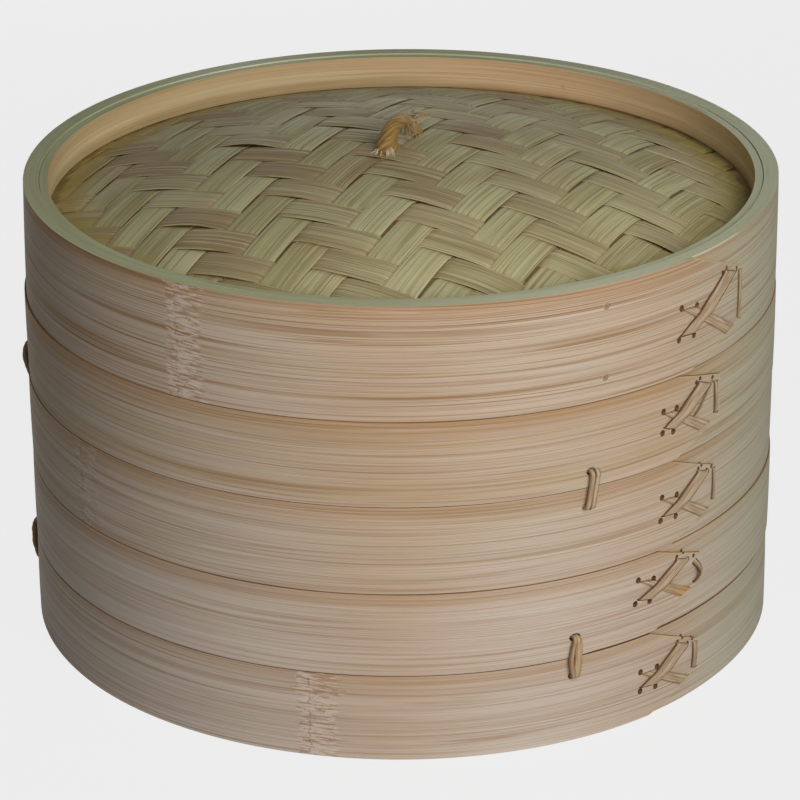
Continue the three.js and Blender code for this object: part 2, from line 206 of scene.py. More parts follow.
# %% [markdown]
# ## Swept grids
#
# A strip is a small closed section carried along a path. `Shell` collects such sweeps and turns them into
# one mesh. Each point keeps two numbers for the material, the length along the strip and the place across
# it, so that the fibres can run along every strip, however it bends. Extra values, such as the distance to
# an edge, ride along as attributes.

# %% Swept grids
class Shell:
    """Gathers closed sweeps into one mesh."""

    def __init__(self):
        """Starts empty: no points, faces or caps, and no values."""
        self.points = []
        self.uv = []
        self.faces = []
        self.caps = []
        self.values = {}
        self.count = 0

    def sweep(self, grid, along, across, closed=False, **values):
        """Adds a grid of rings, each one closed section. The ends are capped unless the path closes."""
        grid = np.asarray(grid, float)
        rings, sides = grid.shape[:2]
        index = np.arange(rings * sides).reshape(rings, sides)
        lower = index if closed else index[:-1]
        upper = np.roll(index, -1, axis=0) if closed else index[1:]
        quads = np.stack([lower, np.roll(lower, -1, 1), np.roll(upper, -1, 1), upper], -1).reshape(-1, 4)
        caps = [] if closed else [index[0][::-1], index[-1]]
        flat = grid.reshape(-1, 3)
        if signed_volume(flat, quads) < 0:
            quads = quads[:, ::-1]
            caps = [cap[::-1] for cap in caps]
        self.points.append(flat)
        self.faces.append(quads + self.count)
        self.caps += [cap + self.count for cap in caps]
        spread = [np.broadcast_to(value, (rings, sides)) for value in (along, across)]
        self.uv.append(np.stack(spread, -1).reshape(-1, 2) * MM)
        for key in set(self.values) | set(values):
            column = self.values.setdefault(key, [np.zeros(self.count)])
            column.append(np.broadcast_to(values.get(key, 0.0), (rings, sides)).reshape(-1).astype(float))
        self.count += rings * sides

    def mesh(self, name, sharp=35):
        """Hands the gathered arrays to Blender, with smooth shading up to the angle sharp."""
        points = np.concatenate(self.points) * MM
        quads = np.concatenate(self.faces)
        loops = np.concatenate([quads.ravel(), *self.caps]).astype(np.int32)
        sizes = np.array([4] * len(quads) + [len(cap) for cap in self.caps])
        mesh = bpy.data.meshes.new(name)
        mesh.vertices.add(len(points))
        mesh.vertices.foreach_set("co", points.astype(np.float32).ravel())
        mesh.loops.add(len(loops))
        mesh.polygons.add(len(sizes))
        mesh.polygons.foreach_set("loop_start", np.concatenate([[0], np.cumsum(sizes)[:-1]]).astype(np.int32))
        mesh.loops.foreach_set("vertex_index", loops)
        layer = mesh.uv_layers.new(name="Strip")
        layer.data.foreach_set("uv", np.concatenate(self.uv)[loops].astype(np.float32).ravel())
        for key, columns in self.values.items():
            attribute = mesh.attributes.new(key, "FLOAT", "POINT")
            attribute.data.foreach_set("value", np.concatenate(columns).astype(np.float32))
        mesh.polygons.foreach_set("use_smooth", np.ones(len(sizes), bool))
        mesh.update(calc_edges=True)
        mesh.validate()
        mesh.set_sharp_from_angle(angle=math.radians(sharp))
        return mesh

    def piece(self, name, body, material, nodes, sharp=35):
        """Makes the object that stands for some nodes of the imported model."""
        thing = bpy.data.objects.new(name, self.mesh(name, sharp))
        bpy.context.scene.collection.objects.link(thing)
        thing.data.materials.append(material)
        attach(thing, body)
        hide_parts(*nodes)
        print("made", name, "with", len(thing.data.polygons), "faces")
        return thing


def signed_volume(points, quads):
    """Six times the volume inside quads, negative inside out: the sum of a dot (b cross c plus c cross d)."""
    a, b, c, d = (points[quads[:, k]] for k in range(4))
    return np.einsum("ij,ij->i", a, np.cross(b, c) + np.cross(c, d)).sum()


# %% [markdown]
# ## Shader maths
#
# Material recipes read better as sums than as lists of sockets. `Wire` wraps one output of a node tree, so
# that `+`, `-`, `*` and a few named operations add Math nodes for themselves. Every other node comes from
# `Board.node`, which takes the node's type, its settings and what goes into its sockets.

# %% Shader maths
class Board:
    """A node tree that is being filled."""

    def __init__(self, tree):
        self.tree = tree

    def plug(self, socket, value):
        """Links a wire to a socket, or writes a plain value into it."""
        if isinstance(value, Wire):
            self.tree.links.new(value.socket, socket)
        else:
            socket.default_value = value

    def node(self, kind, settings, values, output=0):
        """Adds a node: first its settings, then a value or a wire for each of its sockets."""
        node = self.tree.nodes.new("ShaderNode" + kind)
        for key, setting in settings.items():
            setattr(node, key, setting)
        for socket, value in values.items():
            self.plug(node.inputs[socket], value)
        return None if output is None else Wire(self, node.outputs[output])

    def maths(self, operation, *values):
        """One Math node on wires and numbers."""
        return self.node("Math", {"operation": operation}, dict(enumerate(values)))


class Wire:
    """One value in a node tree."""

    def __init__(self, board, socket):
        self.board = board
        self.socket = socket

    def __add__(self, other):
        return self.board.maths("ADD", self, other)

    __radd__ = __add__

    def __sub__(self, other):
        return self.board.maths("SUBTRACT", self, other)

    def __rsub__(self, other):
        return self.board.maths("SUBTRACT", other, self)

    def __mul__(self, other):
        return self.board.maths("MULTIPLY", self, other)

    __rmul__ = __mul__

    def __truediv__(self, other):
        return self.board.maths("DIVIDE", self, other)

    def size(self):
        """The value without its sign."""
        return self.board.maths("ABSOLUTE", self)

    def most(self, other):
        """The greater of two values."""
        return self.board.maths("MAXIMUM", self, other)

    def nearest(self):
        """The nearest whole number."""
        return self.board.maths("ROUND", self)

    def step(self, low, high):
        """0 below low and 1 above high, with a soft slope between; low may be the greater."""
        flip = low > high
        settings = {"interpolation_type": "SMOOTHSTEP"}
        values = {
            "Value": self,
            "From Min": min(low, high),
            "From Max": max(low, high),
            "To Min": 1.0 if flip else 0.0,
            "To Max": 0.0 if flip else 1.0,
        }
        return self.board.node("MapRange", settings, values)


def srgb(red, green, blue):
    """A colour written as it looks on a screen, 0 to 255, in the linear light that shaders use."""
    parts = [c / 255 for c in (red, green, blue)]
    linear = [c / 12.92 if c <= 0.04045 else ((c + 0.055) / 1.055) ** 2.4 for c in parts]
    return (*linear, 1.0)


class Recipe(Board):
    """A material under construction: its inputs, its noises and its final shader."""

    def __init__(self, name, roughness=0.66, specular=0.1):
        """Starts a material with a plain shader of the given roughness and gloss."""
        self.material = bpy.data.materials.new(name)
        self.material.use_nodes = True
        super().__init__(self.material.node_tree)
        self.shader = self.tree.nodes["Principled BSDF"]
        self.shader.inputs["Roughness"].default_value = roughness
        self.shader.inputs["Specular IOR Level"].default_value = specular

    def apart(self, vector, count):
        """The parts of a vector, in millimetres."""
        return [self.node("SeparateXYZ", {}, {0: vector}, output=k) * (1 / MM) for k in range(count)]

    def strip(self):
        """Millimetres along and across the strip."""
        return self.apart(self.node("UVMap", {"uv_map": "Strip"}, {}), 2)

    def place(self):
        """Millimetres along X, Y and Z of the object."""
        return self.apart(self.node("TexCoord", {}, {}, output="Object"), 3)

    def value(self, name):
        """A value that the mesh carries at each of its points."""
        return self.node("Attribute", {"attribute_name": name}, {}, output="Fac")

    def noise(self, x, y, z, detail=2.0, roughness=0.5):
        """Smooth noise from 0 to 1, with about one lump for each step of 1 in x, y and z."""
        vector = self.node("CombineXYZ", {}, {0: x, 1: y, 2: z})
        values = {"Vector": vector, "Scale": 1.0, "Detail": detail, "Roughness": roughness}
        return self.node("TexNoise", {}, values)

    def blend(self, share, first, second):
        """The first colour where share is 0, and the second where it is 1."""
        values = {0: share, 6: first, 7: second}
        return self.node("Mix", {"data_type": "RGBA", "blend_type": "MIX"}, values, output=2)

    def layered(self, colour, *layers):
        """Lays colours over one another. Each layer is the share that it covers, and its colour."""
        for share, tone in layers:
            colour = self.blend(share, colour, tone)
        return colour

    def finish(self, colour, height, depth, roughness=None):
        """Joins the colour, and a height whose full range is depth millimetres, to the shader."""
        self.plug(self.shader.inputs["Base Color"], colour)
        if roughness is not None:
            self.plug(self.shader.inputs["Roughness"], roughness)
        values = {"Strength": 1.0, "Distance": depth * MM, "Height": height}
        self.plug(self.shader.inputs["Normal"], self.node("Bump", {}, values))
        return self.material


# %% [markdown]
# ## Bamboo skin of the hoops
#
# Planed bamboo shows its vascular bundles as thin brown lines that run the whole length of a strip. A line
# is drawn where a noise, stretched a few hundred times along the strip, passes through its middle value,
# which gives lines of an even width at uneven distances. Colours are those of the bare surface in plain
# daylight.
#
# Where the culm had a node, the fibres jog: the lines are shifted beyond a ragged dark mark, and short pale
# and brown dashes slant across them.

# %% Node marks
KNOT_EVERY = 2000.0


def knot_mark(r, colour, knot, across, lot, ragged):
    """Draws a culm node by the distance past it on the strip. Returns the colour and the dashes' relief."""
    zone = (knot + ragged * 9.0).step(0.0, 1.5) * (knot - ragged * 15.0).step(2.5, 0.5)
    flecks = r.noise(knot / 5.0, (across + knot * 0.06) / 0.62, lot + 3.0, 2.0)
    strength = r.value("bleached")
    pits = r.noise(knot / 0.9, across / 0.6, lot + 13.0, 1.0).step(0.66, 0.74) * zone
    wander = (r.noise(0.0, across / 1.2, lot + 29.0, 2.0) - 0.5) * 3.0
    broken = r.noise(0.0, across / 1.8, lot + 19.0, 1.0).step(0.45, 0.6)
    mark = (knot + wander).size().step(0.5, 0.1) * broken
    colour = r.layered(
        colour,
        (flecks.step(0.47, 0.57) * zone * strength * 0.78, srgb(226, 206, 194)),
        (flecks.step(0.46, 0.38) * zone * (strength * 0.4 + 0.15), srgb(172, 126, 82)),
        (pits.most(mark * 0.6) * 0.7, srgb(110, 82, 48)),
    )
    return colour, flecks * zone


# %% [markdown]
# The edges of a strip are cut faces. The lid's top edges show as an olive crest, paler on a few stretches, and
# every other cut shows brown end grain. The slanting edges of the arrow point get a painted highlight, a pale
# line.

# %% Cut edges
def cut_edges(r, colour, along, across, lot, grain, crest_tones):
    """Paints a highlight along the slanting edges of the arrow point, and colours the faces where the strip is
    cut.
    """
    slanting = r.value("slant") * r.value("rim").step(0.6, 0.35)
    # painted highlight: a pale line along the slanting edges of the arrow point
    colour = r.blend(slanting * 0.6, colour, srgb(206, 184, 128))
    layer = r.noise(along / 70, across / 50, lot + 41.0, 2.0)
    crest = r.layered(
        r.blend(layer.step(0.35, 0.65), *crest_tones),
        (r.value("bare"), srgb(234, 235, 204)),
        (grain.step(0.5, 0.7) * 0.3, srgb(168, 170, 126)),
    )
    end_grain = r.blend(r.value("crest"), srgb(152, 116, 80), crest)
    return colour, end_grain


def painted_wall_shade(r, colour, down, cloud, ragged):
    """Paints shade on the foot of the wall inside the lid: a soft brown shade, and a dark shadow line where it
    meets the weave.
    """
    # painted shade: a soft brown shade over the wall's foot, and a dark painted shadow line along the weave
    foot_shade = r.value("stained") * (down + cloud * 6.0).step(9.0, 14.0)
    grime = r.value("grime") * (down + cloud * 1.6 + ragged * 1.2).step(11.9, 12.7)
    return r.layered(colour, (foot_shade * 0.45, srgb(172, 130, 74)), (grime * 0.8, srgb(78, 54, 46)))


# %% [markdown]
# The skin itself is built from the broad to the fine: the body colour and its clouds, strong lines that come
# and go, fine lines, and a grain of single fibres.

# %% Bamboo skin
def hoop_skin(name, pale, pinkish, tan, line, browned, olive, sand, crest_tones, lines=0.8):
    """Bamboo of the wound hoops. The lot value keeps one hoop's pattern from repeating on the next."""
    r = Recipe(name)
    along, across = r.strip()
    lot = r.value("lot") * 37.0
    warm = r.value("warm")
    down = r.value("down")
    turns = (along - r.value("knot_first")) / KNOT_EVERY
    knot = (turns.nearest() - turns) * KNOT_EVERY

    drift = (r.noise(along / 150, across / 30, lot, 1.0) - 0.5) * 2.2
    shifted = knot.step(-1.5, 2.0) * knot.step(140.0, 25.0)
    jog = (r.noise(0.0, across / 2.4, lot + 7.0, 1.0) - 0.5) * 4.5 * shifted
    height = across + drift + jog

    broad = r.noise(along / 330, height / 3.6, lot, 2.0, 0.55)
    strong = (r.noise(along / 520, height / 1.9, lot + 11.0, 1.5) - 0.5).size().step(0.06, 0.012)
    strong_here = r.noise(along / 120, height / 3.0, lot + 17.0, 1.0).step(0.4, 0.6)
    fine = (r.noise(along / 260, height / 0.7, lot + 23.0, 1.0) - 0.5).size().step(0.065, 0.005)
    cloud = r.noise(along / 46, height / 6.0, lot + 5.0, 2.0)
    grain = r.noise(along / 50, height / 0.42, lot + 47.0, 2.0)

    top_zone = (down + (r.noise(along / 90, height / 1.8, lot + 31.0, 2.0) - 0.5) * 7.0).step(8.5, 1.5)
    lined = r.value("lined") * lines
    colour = r.layered(
        r.blend(warm, pale, tan),
        (broad.step(0.36, 0.66) * 0.75, pinkish),
        (cloud.step(0.5, 0.75) * 0.25, olive),
        (top_zone * (warm * 0.25 + 0.45), browned),
        (r.value("sand"), sand),
        (r.value("olive") * 0.75, olive),
        (strong * strong_here * lined, line),
        (fine * (lined * 0.5 + 0.12), line),
        (grain.step(0.52, 0.72) * 0.28, line),
        (grain.step(0.46, 0.3) * 0.3, pale),
    )

    ragged = r.noise(0.0, across / 1.3, lot + 2.0, 2.0)
    colour, dashes = knot_mark(r, colour, knot, across, lot, ragged)
    colour, end_grain = cut_edges(r, colour, along, across, lot, grain, crest_tones)
    # painted shade at the foot of the lid's rim wall
    colour = painted_wall_shade(r, colour, down, cloud, ragged)
    colour = r.blend(r.value("cut").step(0.3, 0.8), colour, end_grain)
    bumps = strong * -0.5 + fine * -0.25 + dashes * 0.8
    return r.finish(colour, bumps, 0.05, roughness=broad * 0.15 + 0.58)


BAND_BAMBOO = hoop_skin(
    "band_bamboo",
    pale=srgb(218, 205, 192),
    pinkish=srgb(206, 186, 170),
    tan=srgb(194, 170, 138),
    line=srgb(156, 118, 76),
    browned=srgb(182, 142, 100),
    olive=srgb(192, 192, 166),
    sand=srgb(196, 154, 112),
    crest_tones=(srgb(198, 203, 164), srgb(198, 194, 152)),
)
HOOP_BAMBOO = hoop_skin(
    "hoop_bamboo",
    pale=srgb(238, 220, 178),
    pinkish=srgb(234, 216, 172),
    tan=srgb(224, 206, 160),
    line=srgb(188, 146, 94),
    browned=srgb(198, 158, 106),
    olive=srgb(214, 200, 152),
    sand=srgb(250, 204, 164),
    crest_tones=(srgb(198, 203, 164), srgb(194, 190, 148)),
    lines=0.3,
)
print("made the skins", BAND_BAMBOO.name, "and", HOOP_BAMBOO.name)

# %% [markdown]
# ## Skins of the slats and the weave
#
# The floor slats are plain planed bamboo. The woven lid shows both sides of split strips: the skin side is
# olive green, and the inner side is straw or brown, with pale and dark lines along it.

# %% Slats
def slat_skin():
    """Pale planed bamboo with brown bundles; the tone differs from slat to slat."""
    r = Recipe("slat_bamboo", roughness=0.6, specular=0.15)
    along, across = r.strip()
    tone = r.value("tone")
    seed = tone * 53.0
    broad = r.noise(along / 110, across / 2.6, seed, 2.0)
    bundles = r.noise(along / 160, across / 0.5, seed + 9.0, 2.5, 0.6)
    colour = r.layered(
        r.blend(tone, srgb(214, 190, 148), srgb(198, 168, 120)),
        (broad.step(0.35, 0.7) * 0.6, srgb(222, 204, 168)),
        (bundles.step(0.54, 0.7) * 0.6, srgb(160, 118, 72)),
    )
    return r.finish(colour, bundles * 0.6 + broad * 0.4, 0.12, roughness=broad * 0.2 + 0.5)


SLAT_BAMBOO = slat_skin()


# %% Weave
def highlights_yellowing_and_shade(r, colour, along, across, seed):
    """Painted highlights in patches along the strips' edges, then a yellow tint towards the rim, and a dark
    painted shadow at the rim where the strips go under the hoops.
    """
    sheen_patches = r.noise(along / 14, 0.0, seed + 29.0, 1.0).step(0.42, 0.62)
    reach = r.value("reach")
    reach_jitter = r.noise(along / 9, across / 5, seed + 37.0, 2.0)
    return r.layered(
        colour,
        # painted highlight: pale patches along the strips' edges
        (r.value("side").step(0.89, 0.97) * sheen_patches * 0.65, srgb(214, 194, 148)),
        ((reach + reach_jitter * 24.0).step(113.0, 124.0) * 0.65, srgb(180, 162, 86)),
        # painted shadow: dark brown at the rim, where the strips pass under the hoops
        ((reach + reach_jitter * 9.0).step(119.5, 122.5) * 0.55, srgb(84, 62, 50)),
    )


def weave_skin():
    """Olive strips one way and brown ones the other, each with its own tone, clouds, stripes and lines."""
    r = Recipe("woven_bamboo", roughness=0.55, specular=0.15)
    along, across = r.strip()
    family = r.value("family")
    tone = r.value("tone")
    seed = tone * 71.0 + family * 19.0
    patch = r.noise(along / 30, across / 11, seed, 1.5)
    stripes = r.noise(along / 80, across / 1.7, seed + 7.0, 1.5)
    lines = (r.noise(along / 110, across / 0.75, seed + 17.0, 1.0) - 0.5).size().step(0.06, 0.0)
    fine = r.noise(along / 50, across / 0.24, seed + 13.0, 2.0, 0.6)
    straw = r.blend(tone, srgb(172, 164, 108), srgb(224, 218, 170))
    brown = r.blend(tone, srgb(162, 132, 96), srgb(214, 196, 154))
    wide = r.noise(along / 60, 0.0, seed + 43.0, 1.0)
    straw = r.blend(wide.step(0.52, 0.64) * 0.6, straw, srgb(186, 156, 108))
    # painted light: the brown strips' pale patches grow towards the front right, the lamp's side
    brown = r.blend(wide.step(0.46, 0.58) * (r.value("faded") * 0.45 + 0.25), brown, srgb(200, 192, 148))
    colour = r.layered(
        r.blend(family, straw, brown),
        (patch.step(0.52, 0.72) * 0.5, srgb(174, 146, 104)),
        (patch.step(0.46, 0.28) * 0.5, srgb(200, 198, 154)),
        (stripes.step(0.46, 0.34) * 0.65, srgb(144, 128, 80)),
        (stripes.step(0.54, 0.66) * 0.65, srgb(220, 214, 170)),
        # painted light: a pale wash over the weave towards the front right, where the lamp stands
        (r.value("faded") * 0.4, srgb(240, 228, 172)),
        (lines * 0.55, srgb(118, 98, 60)),
        (fine.step(0.52, 0.7) * 0.45, srgb(224, 220, 182)),
        (fine.step(0.45, 0.3) * 0.4, srgb(128, 112, 72)),
        # painted shade: browner where a strip lies under the crossing one, seen in the gaps between strips
        (r.value("low") * 0.8, srgb(120, 86, 52)),
    )
    # painted highlights on the edges, the yellow tint, and painted shadow at the rim
    colour = highlights_yellowing_and_shade(r, colour, along, across, seed)
    bumps = lines * -0.5 + fine * 0.4 + stripes * 0.3
    return r.finish(colour, bumps, 0.12, roughness=patch * 0.2 + 0.45)


WOVEN_BAMBOO = weave_skin()
print("made the skins", SLAT_BAMBOO.name, "and", WOVEN_BAMBOO.name)

# %% [markdown]
# ## Skins of the cane, the pins and the holes
#
# Cane is nearly the colour of the bands, and what makes it readable is the brown line along each edge, painted
# shade for the shadow gap there. A pin shows its end grain, and a drilled hole its torn fibres.

# %% Cane
def cane_skin(name, light, dark, fibre_and_edge_shade, gold):
    """Cane in two broad tones with darker fibres; gold yellows a stretch of it, and mark paints shade along
    its edges.
    """
    r = Recipe(name, specular=0.12)
    along, across = r.strip()
    tone = r.value("tone")
    seed = tone * 43.0
    broad = r.noise(along / 7, across / 1.2, seed, 2.0)
    fibres = (r.noise(along / 18, across / 0.55, seed + 5.0, 1.5) - 0.5).size().step(0.09, 0.02)
    colour = r.layered(
        r.blend(broad.step(0.35, 0.68), light, dark),
        (r.value("gold"), gold),
        (fibres * 0.4, fibre_and_edge_shade),
        # painted shade: a brown line along each edge, where the cane meets the band; mark sets its strength
        (r.value("side").step(0.5, 0.24) * r.value("mark"), fibre_and_edge_shade),
    )
    return r.finish(colour, broad * 0.5 - fibres * 0.5, 0.08)


CANE = cane_skin(
    "cane", light=srgb(206, 184, 156), dark=srgb(188, 162, 130), fibre_and_edge_shade=srgb(112, 78, 48),
    gold=srgb(204, 164, 100),
)
HANDLE_CANE = cane_skin(
    "handle_cane", light=srgb(198, 162, 100), dark=srgb(160, 124, 70), fibre_and_edge_shade=srgb(112, 84, 48),
    gold=srgb(232, 214, 186),
)


# %% Pins and holes
def pin_skin():
    """Pins show a pale ring round a brown middle outside, and the hoop's own tone at their inner end."""
    r = Recipe("pin_bamboo", roughness=0.75)
    x, y, z = r.place()
    speckle = r.noise(x / 0.3, y / 0.3, z / 0.3, 2.0)
    colour = r.layered(
        r.blend(r.value("middle"), srgb(200, 178, 150), srgb(150, 120, 92)),
        (speckle.step(0.45, 0.7) * 0.4, srgb(150, 116, 82)),
        (r.value("inner"), srgb(228, 194, 150)),
    )
    return r.finish(colour, speckle, 0.08)


def hole_skin():
    """The wall of a drilled hole: torn fibres in their own shadow."""
    r = Recipe("hole_wall", roughness=0.9, specular=0.05)
    x, y, z = r.place()
    speckle = r.noise(x / 0.4, y / 0.4, z / 0.2, 2.0)
    colour = r.blend(speckle.step(0.35, 0.65), srgb(120, 88, 58), srgb(156, 120, 84))
    return r.finish(colour, speckle, 0.1)


PIN_BAMBOO = pin_skin()
HOLE_WALL = hole_skin()
print("made the skins", ", ".join(skin.name for skin in (CANE, HANDLE_CANE, PIN_BAMBOO, HOLE_WALL)))

# %% [markdown]
# ## Wound hoops
#
# Each hoop is one strip wound on itself, as a coil spring is. It keeps its radius nearly all the way round,
# and steps in by its own thickness over a short run beyond the lapped end, where it slips under its own
# beginning. The outer hoops end in a blunt arrow point. No such hoop is a true circle: each swells by a
# millimetre or so on the left, and the swelling shrinks towards the inner turns, which sit on the wall. The
# inner end is pared down to nothing, so that the last turn closes smoothly.

# %% Turns and section
LAP_RUN = 34.0
LAYER_GAP = 0.012
FIRST_TURN = 361
EDGE_ROUNDING = 0.1
SECTION_HEIGHTS = (0.05, 0.12, 0.25, 0.4, 0.55, 0.7, 0.82, 0.91, 0.96)


def layer_of(turned):
    """Whole turns so far, plus an ease from 0 to 1 over the last LAP_RUN degrees of each turn."""
    share = np.mod(turned, 360)
    return np.floor(turned / 360) + smooth((share - 360 + LAP_RUN) / LAP_RUN)


def strip_section(corner):
    """Depth from 0 outside to 1 inside, share of the height, and an offset up in millimetres, per point."""
    eased = ((0.03, 0.3 * corner), (0.1, 0.0), (0.9, 0.0), (0.97, 0.3 * corner), (1.0, corner))
    rows = [(0.0, 0.0, corner)]
    rows += [(0.0, share, 0.0) for share in SECTION_HEIGHTS]
    rows += [(0.0, 1.0, -corner)]
    rows += [(depth, 1.0, -offset) for depth, offset in eased]
    rows += [(1.0, share, 0.0) for share in (0.75, 0.5, 0.25)]
    rows += [(depth, 0.0, offset) for depth, offset in reversed(eased)]
    return np.array(rows).T


# %% [markdown]
# The colours of a hoop are not the same all round, and the mesh carries where they change: green towards the
# right back, sandy in front, and paler on a few stretches of the lid's crest.

# %% Tints round a hoop
def hoop_tints(angle, slope, outer_turn):
    """Shares of olive, bare and sand by the angle. Olive and the bands' sand colour the outer turn alone."""
    behind = np.mod(angle + 90, 360)[:, None] - 90
    olive = smooth((behind - 38) / 30) * smooth((190 - behind) / 60) * outer_turn
    bare = 0.85 * bump(angle, 112.0, 52.0) + 0.6 * bump(angle, 28.0, 30.0) + 0.95 * bump(angle, -152.0, 17.0)
    if slope:
        sand = (0.34 * bump(angle, -2.0, 13.0) + 0.2 * bump(angle, 41.0, 13.0))[:, None] * outer_turn
    else:
        sand = 0.55 * bump(angle, 152.0, 34.0)[:, None]
    return dict(olive=olive, bare=np.minimum(bare, 1.0)[:, None], sand=sand)


# %% One wound strip
def wound_strip(shell, lap, foot, height, outside, pitch, layers, seed, knot_at, wave, warm, crest, corner,
                slope=0.0, top_cut=0.0, foot_cut=0.0, swell=None, foot_gap=None, steps=190, lined=1.0,
                bleached=0.3):
    """Adds a strip from the lapped end in: its radius is outside less pitch times layer_of, plus the swell."""
    total = layers * 360 - 2
    tip = math.degrees(slope / outside) if slope else 0.0
    turned = np.concatenate([np.linspace(0, tip, 18)[:-1], np.linspace(tip, total, int(steps * layers))])
    angle = lap - turned
    length = np.radians(turned) * outside
    short = np.clip(1 - length / slope, 0, 1) if slope else np.zeros_like(length)
    top = foot + height - wave * (1 + ripple(angle, seed, (3, 5, 9, 14))) / 2 - height * top_cut * short
    bottom = foot + wave * (1 + ripple(angle, seed + 1, (3, 5, 9, 14))) / 2 + height * foot_cut * short
    if foot_gap is not None:
        bottom = bottom + foot_gap(angle)
    depth, share, offset = strip_section(corner)
    z = bottom[:, None] + (top - bottom)[:, None] * share + offset
    thin = 1 - smooth((turned - layers * 360 + LAP_RUN) / LAP_RUN)[:, None]
    radius = outside - pitch * layer_of(turned)[:, None] - (pitch - LAYER_GAP) * depth * thin
    outermost = (turned < FIRST_TURN).astype(float)[:, None]
    radius = radius - EDGE_ROUNDING * (2 * share - 1) ** 2 * (1 - depth) * outermost
    if swell is not None:
        full = np.clip((z - foot) / height, 0, 1)
        inside = outside - pitch * layers
        radius = radius + swell(angle[:, None], full) * (radius - inside) / (outside - inside)
    grid = around(radius, angle[:, None], z)
    rim = np.clip(np.minimum(z - bottom[:, None], top[:, None] - z), 0, 12)
    cut = ((depth > 0.02) & (depth < 0.98)).astype(float)
    hidden_out = (depth < 0.5) & ((turned > FIRST_TURN)[:, None] | (slope == 0))
    hidden_in = (depth > 0.5) & ((turned < total - FIRST_TURN)[:, None] | (slope > 0))
    cut = np.where((hidden_out | hidden_in) & (share > 0.99) & (crest > 0), 1.0, cut)
    outer_turn = (turned < 380).astype(float)[:, None]
    # painted shade: only the lid's rim hoop gets the painted shade at its foot and the painted shadow line
    # along the weave, strongest at the right back
    stained = float(crest > 0 and slope == 0)
    shell.sweep(
        grid, length[:, None], z - foot, rim=rim, down=foot + height - z, cut=cut,
        slant=(short > 0.01)[:, None] * 1.0, crest=cut * (share > 0.5) * crest, lot=seed * 0.173, warm=warm,
        stained=stained, grime=stained * bump(angle, 125.0, 30.0)[:, None],
        knot_first=math.radians((lap - knot_at) % 360) * outside, bleached=bleached, lined=lined,
        **hoop_tints(angle, slope, outer_turn),
    )


# %% [markdown]
# ## Bored holes
#
# Every strand of cane passes through a bored hole, and these dark spots are among the first things the eye
# finds. The borers are small bars along the radius, and one exact difference per hoop cuts them all.

# %% Borers
BORE_PAST = 2
PIN_BORE = 1.12
LOOP_BORE_HALF_HEIGHT = 1.35
LOOP_BORE_EASE = 0.3


def radial_bar(shell, angle, z, inner, outer, half_width, half_height, tilt=0.0, power=1.0):
    """Adds a bar along the radius. Its section is an ellipse, or nearer to a box with a lower power."""
    turn = full_turn(16)
    across = squared(np.cos(turn), power) * half_width
    up = squared(np.sin(turn), power) * half_height
    lean = math.radians(tilt)
    a = across * math.cos(lean) - up * math.sin(lean)
    b = across * math.sin(lean) + up * math.cos(lean)
    out, side = radial_axes(angle)
    rings = [out * r + side * a[:, None] + UP * (z + b)[:, None] for r in (inner, outer)]
    shell.sweep(rings, 0.0, 0.0)


# %% [markdown]
# Cutting leaves thin triangles round each hole, so the round faces are then told to shade as the cylinder
# they lie on. The new corners also need the values that the material reads, and take them from the uncut
# face under them.

# %% Bored holes
ROUND_FACING = 0.93


def shade_round(mesh):
    """Gives the corners of faces that look outwards or inwards the direction of the radius."""
    count = len(mesh.polygons)
    normals = np.empty(count * 3, np.float32)
    mesh.polygons.foreach_get("normal", normals)
    totals = np.empty(count, np.int32)
    mesh.polygons.foreach_get("loop_total", totals)
    corners = np.empty(len(mesh.loops), np.int32)
    mesh.loops.foreach_get("vertex_index", corners)
    points = np.empty(len(mesh.vertices) * 3, np.float32)
    mesh.vertices.foreach_get("co", points)
    radial = points.reshape(-1, 3)[corners] * (1, 1, 0)
    radial /= np.linalg.norm(radial, axis=1)[:, None]
    facing = np.einsum("ij,ij->i", np.repeat(normals.reshape(-1, 3), totals, 0), radial)
    chosen = np.where(np.abs(facing) > ROUND_FACING, np.sign(facing), 0.0)[:, None] * radial
    mesh.normals_split_custom_set(chosen.tolist())


def carry_values(old, new):
    """New points of a cut mesh get the mean of the values at the corners of the face below, by nearness."""
    tree = BVHTree.FromPolygons([v.co for v in old.vertices], [p.vertices for p in old.polygons])
    names = [a.name for a in old.attributes if a.domain == "POINT" and a.data_type == "FLOAT"]
    before = {name: np.empty(len(old.vertices), np.float32) for name in names}
    after = {name: np.empty(len(new.vertices), np.float32) for name in names}
    for name in names:
        old.attributes[name].data.foreach_get("value", before[name])
        new.attributes[name].data.foreach_get("value", after[name])
    for k in np.flatnonzero(after["lot"] == 0):
        spot = new.vertices[k].co
        face = old.polygons[tree.find_nearest(spot)[2]]
        corners = list(face.vertices)
        weights = poly_3d_calc([old.vertices[c].co for c in corners], spot)
        for name in names:
            after[name][k] = float(np.dot(before[name][corners], weights))
    for name in names:
        new.attributes[name].data.foreach_set("value", after[name])


def bore(thing, shell):
    """Cuts a shell's bars out of a piece."""
    cutter = bpy.data.objects.new("borer", shell.mesh("borer"))
    cutter.data.materials.append(HOLE_WALL)
    bpy.context.scene.collection.objects.link(cutter)
    change = thing.modifiers.new("bore", "BOOLEAN")
    change.operation = "DIFFERENCE"
    change.solver = "MANIFOLD"
    change.object = cutter
    change.material_mode = "TRANSFER"
    bpy.context.view_layer.update()
    graph = bpy.context.evaluated_depsgraph_get()
    cut = thing.evaluated_get(graph)
    bored = bpy.data.meshes.new_from_object(cut, preserve_all_data_layers=True, depsgraph=graph)
    thing.modifiers.clear()
    old = thing.data
    carry_values(old, bored)
    thing.data = bored
    bored.name = old.name
    bpy.data.meshes.remove(old)
    bpy.data.objects.remove(cutter)
    bored.set_sharp_from_angle(angle=math.radians(35))
    shade_round(bored)
    print("bored", thing.name, "which now has", len(bored.polygons), "faces")


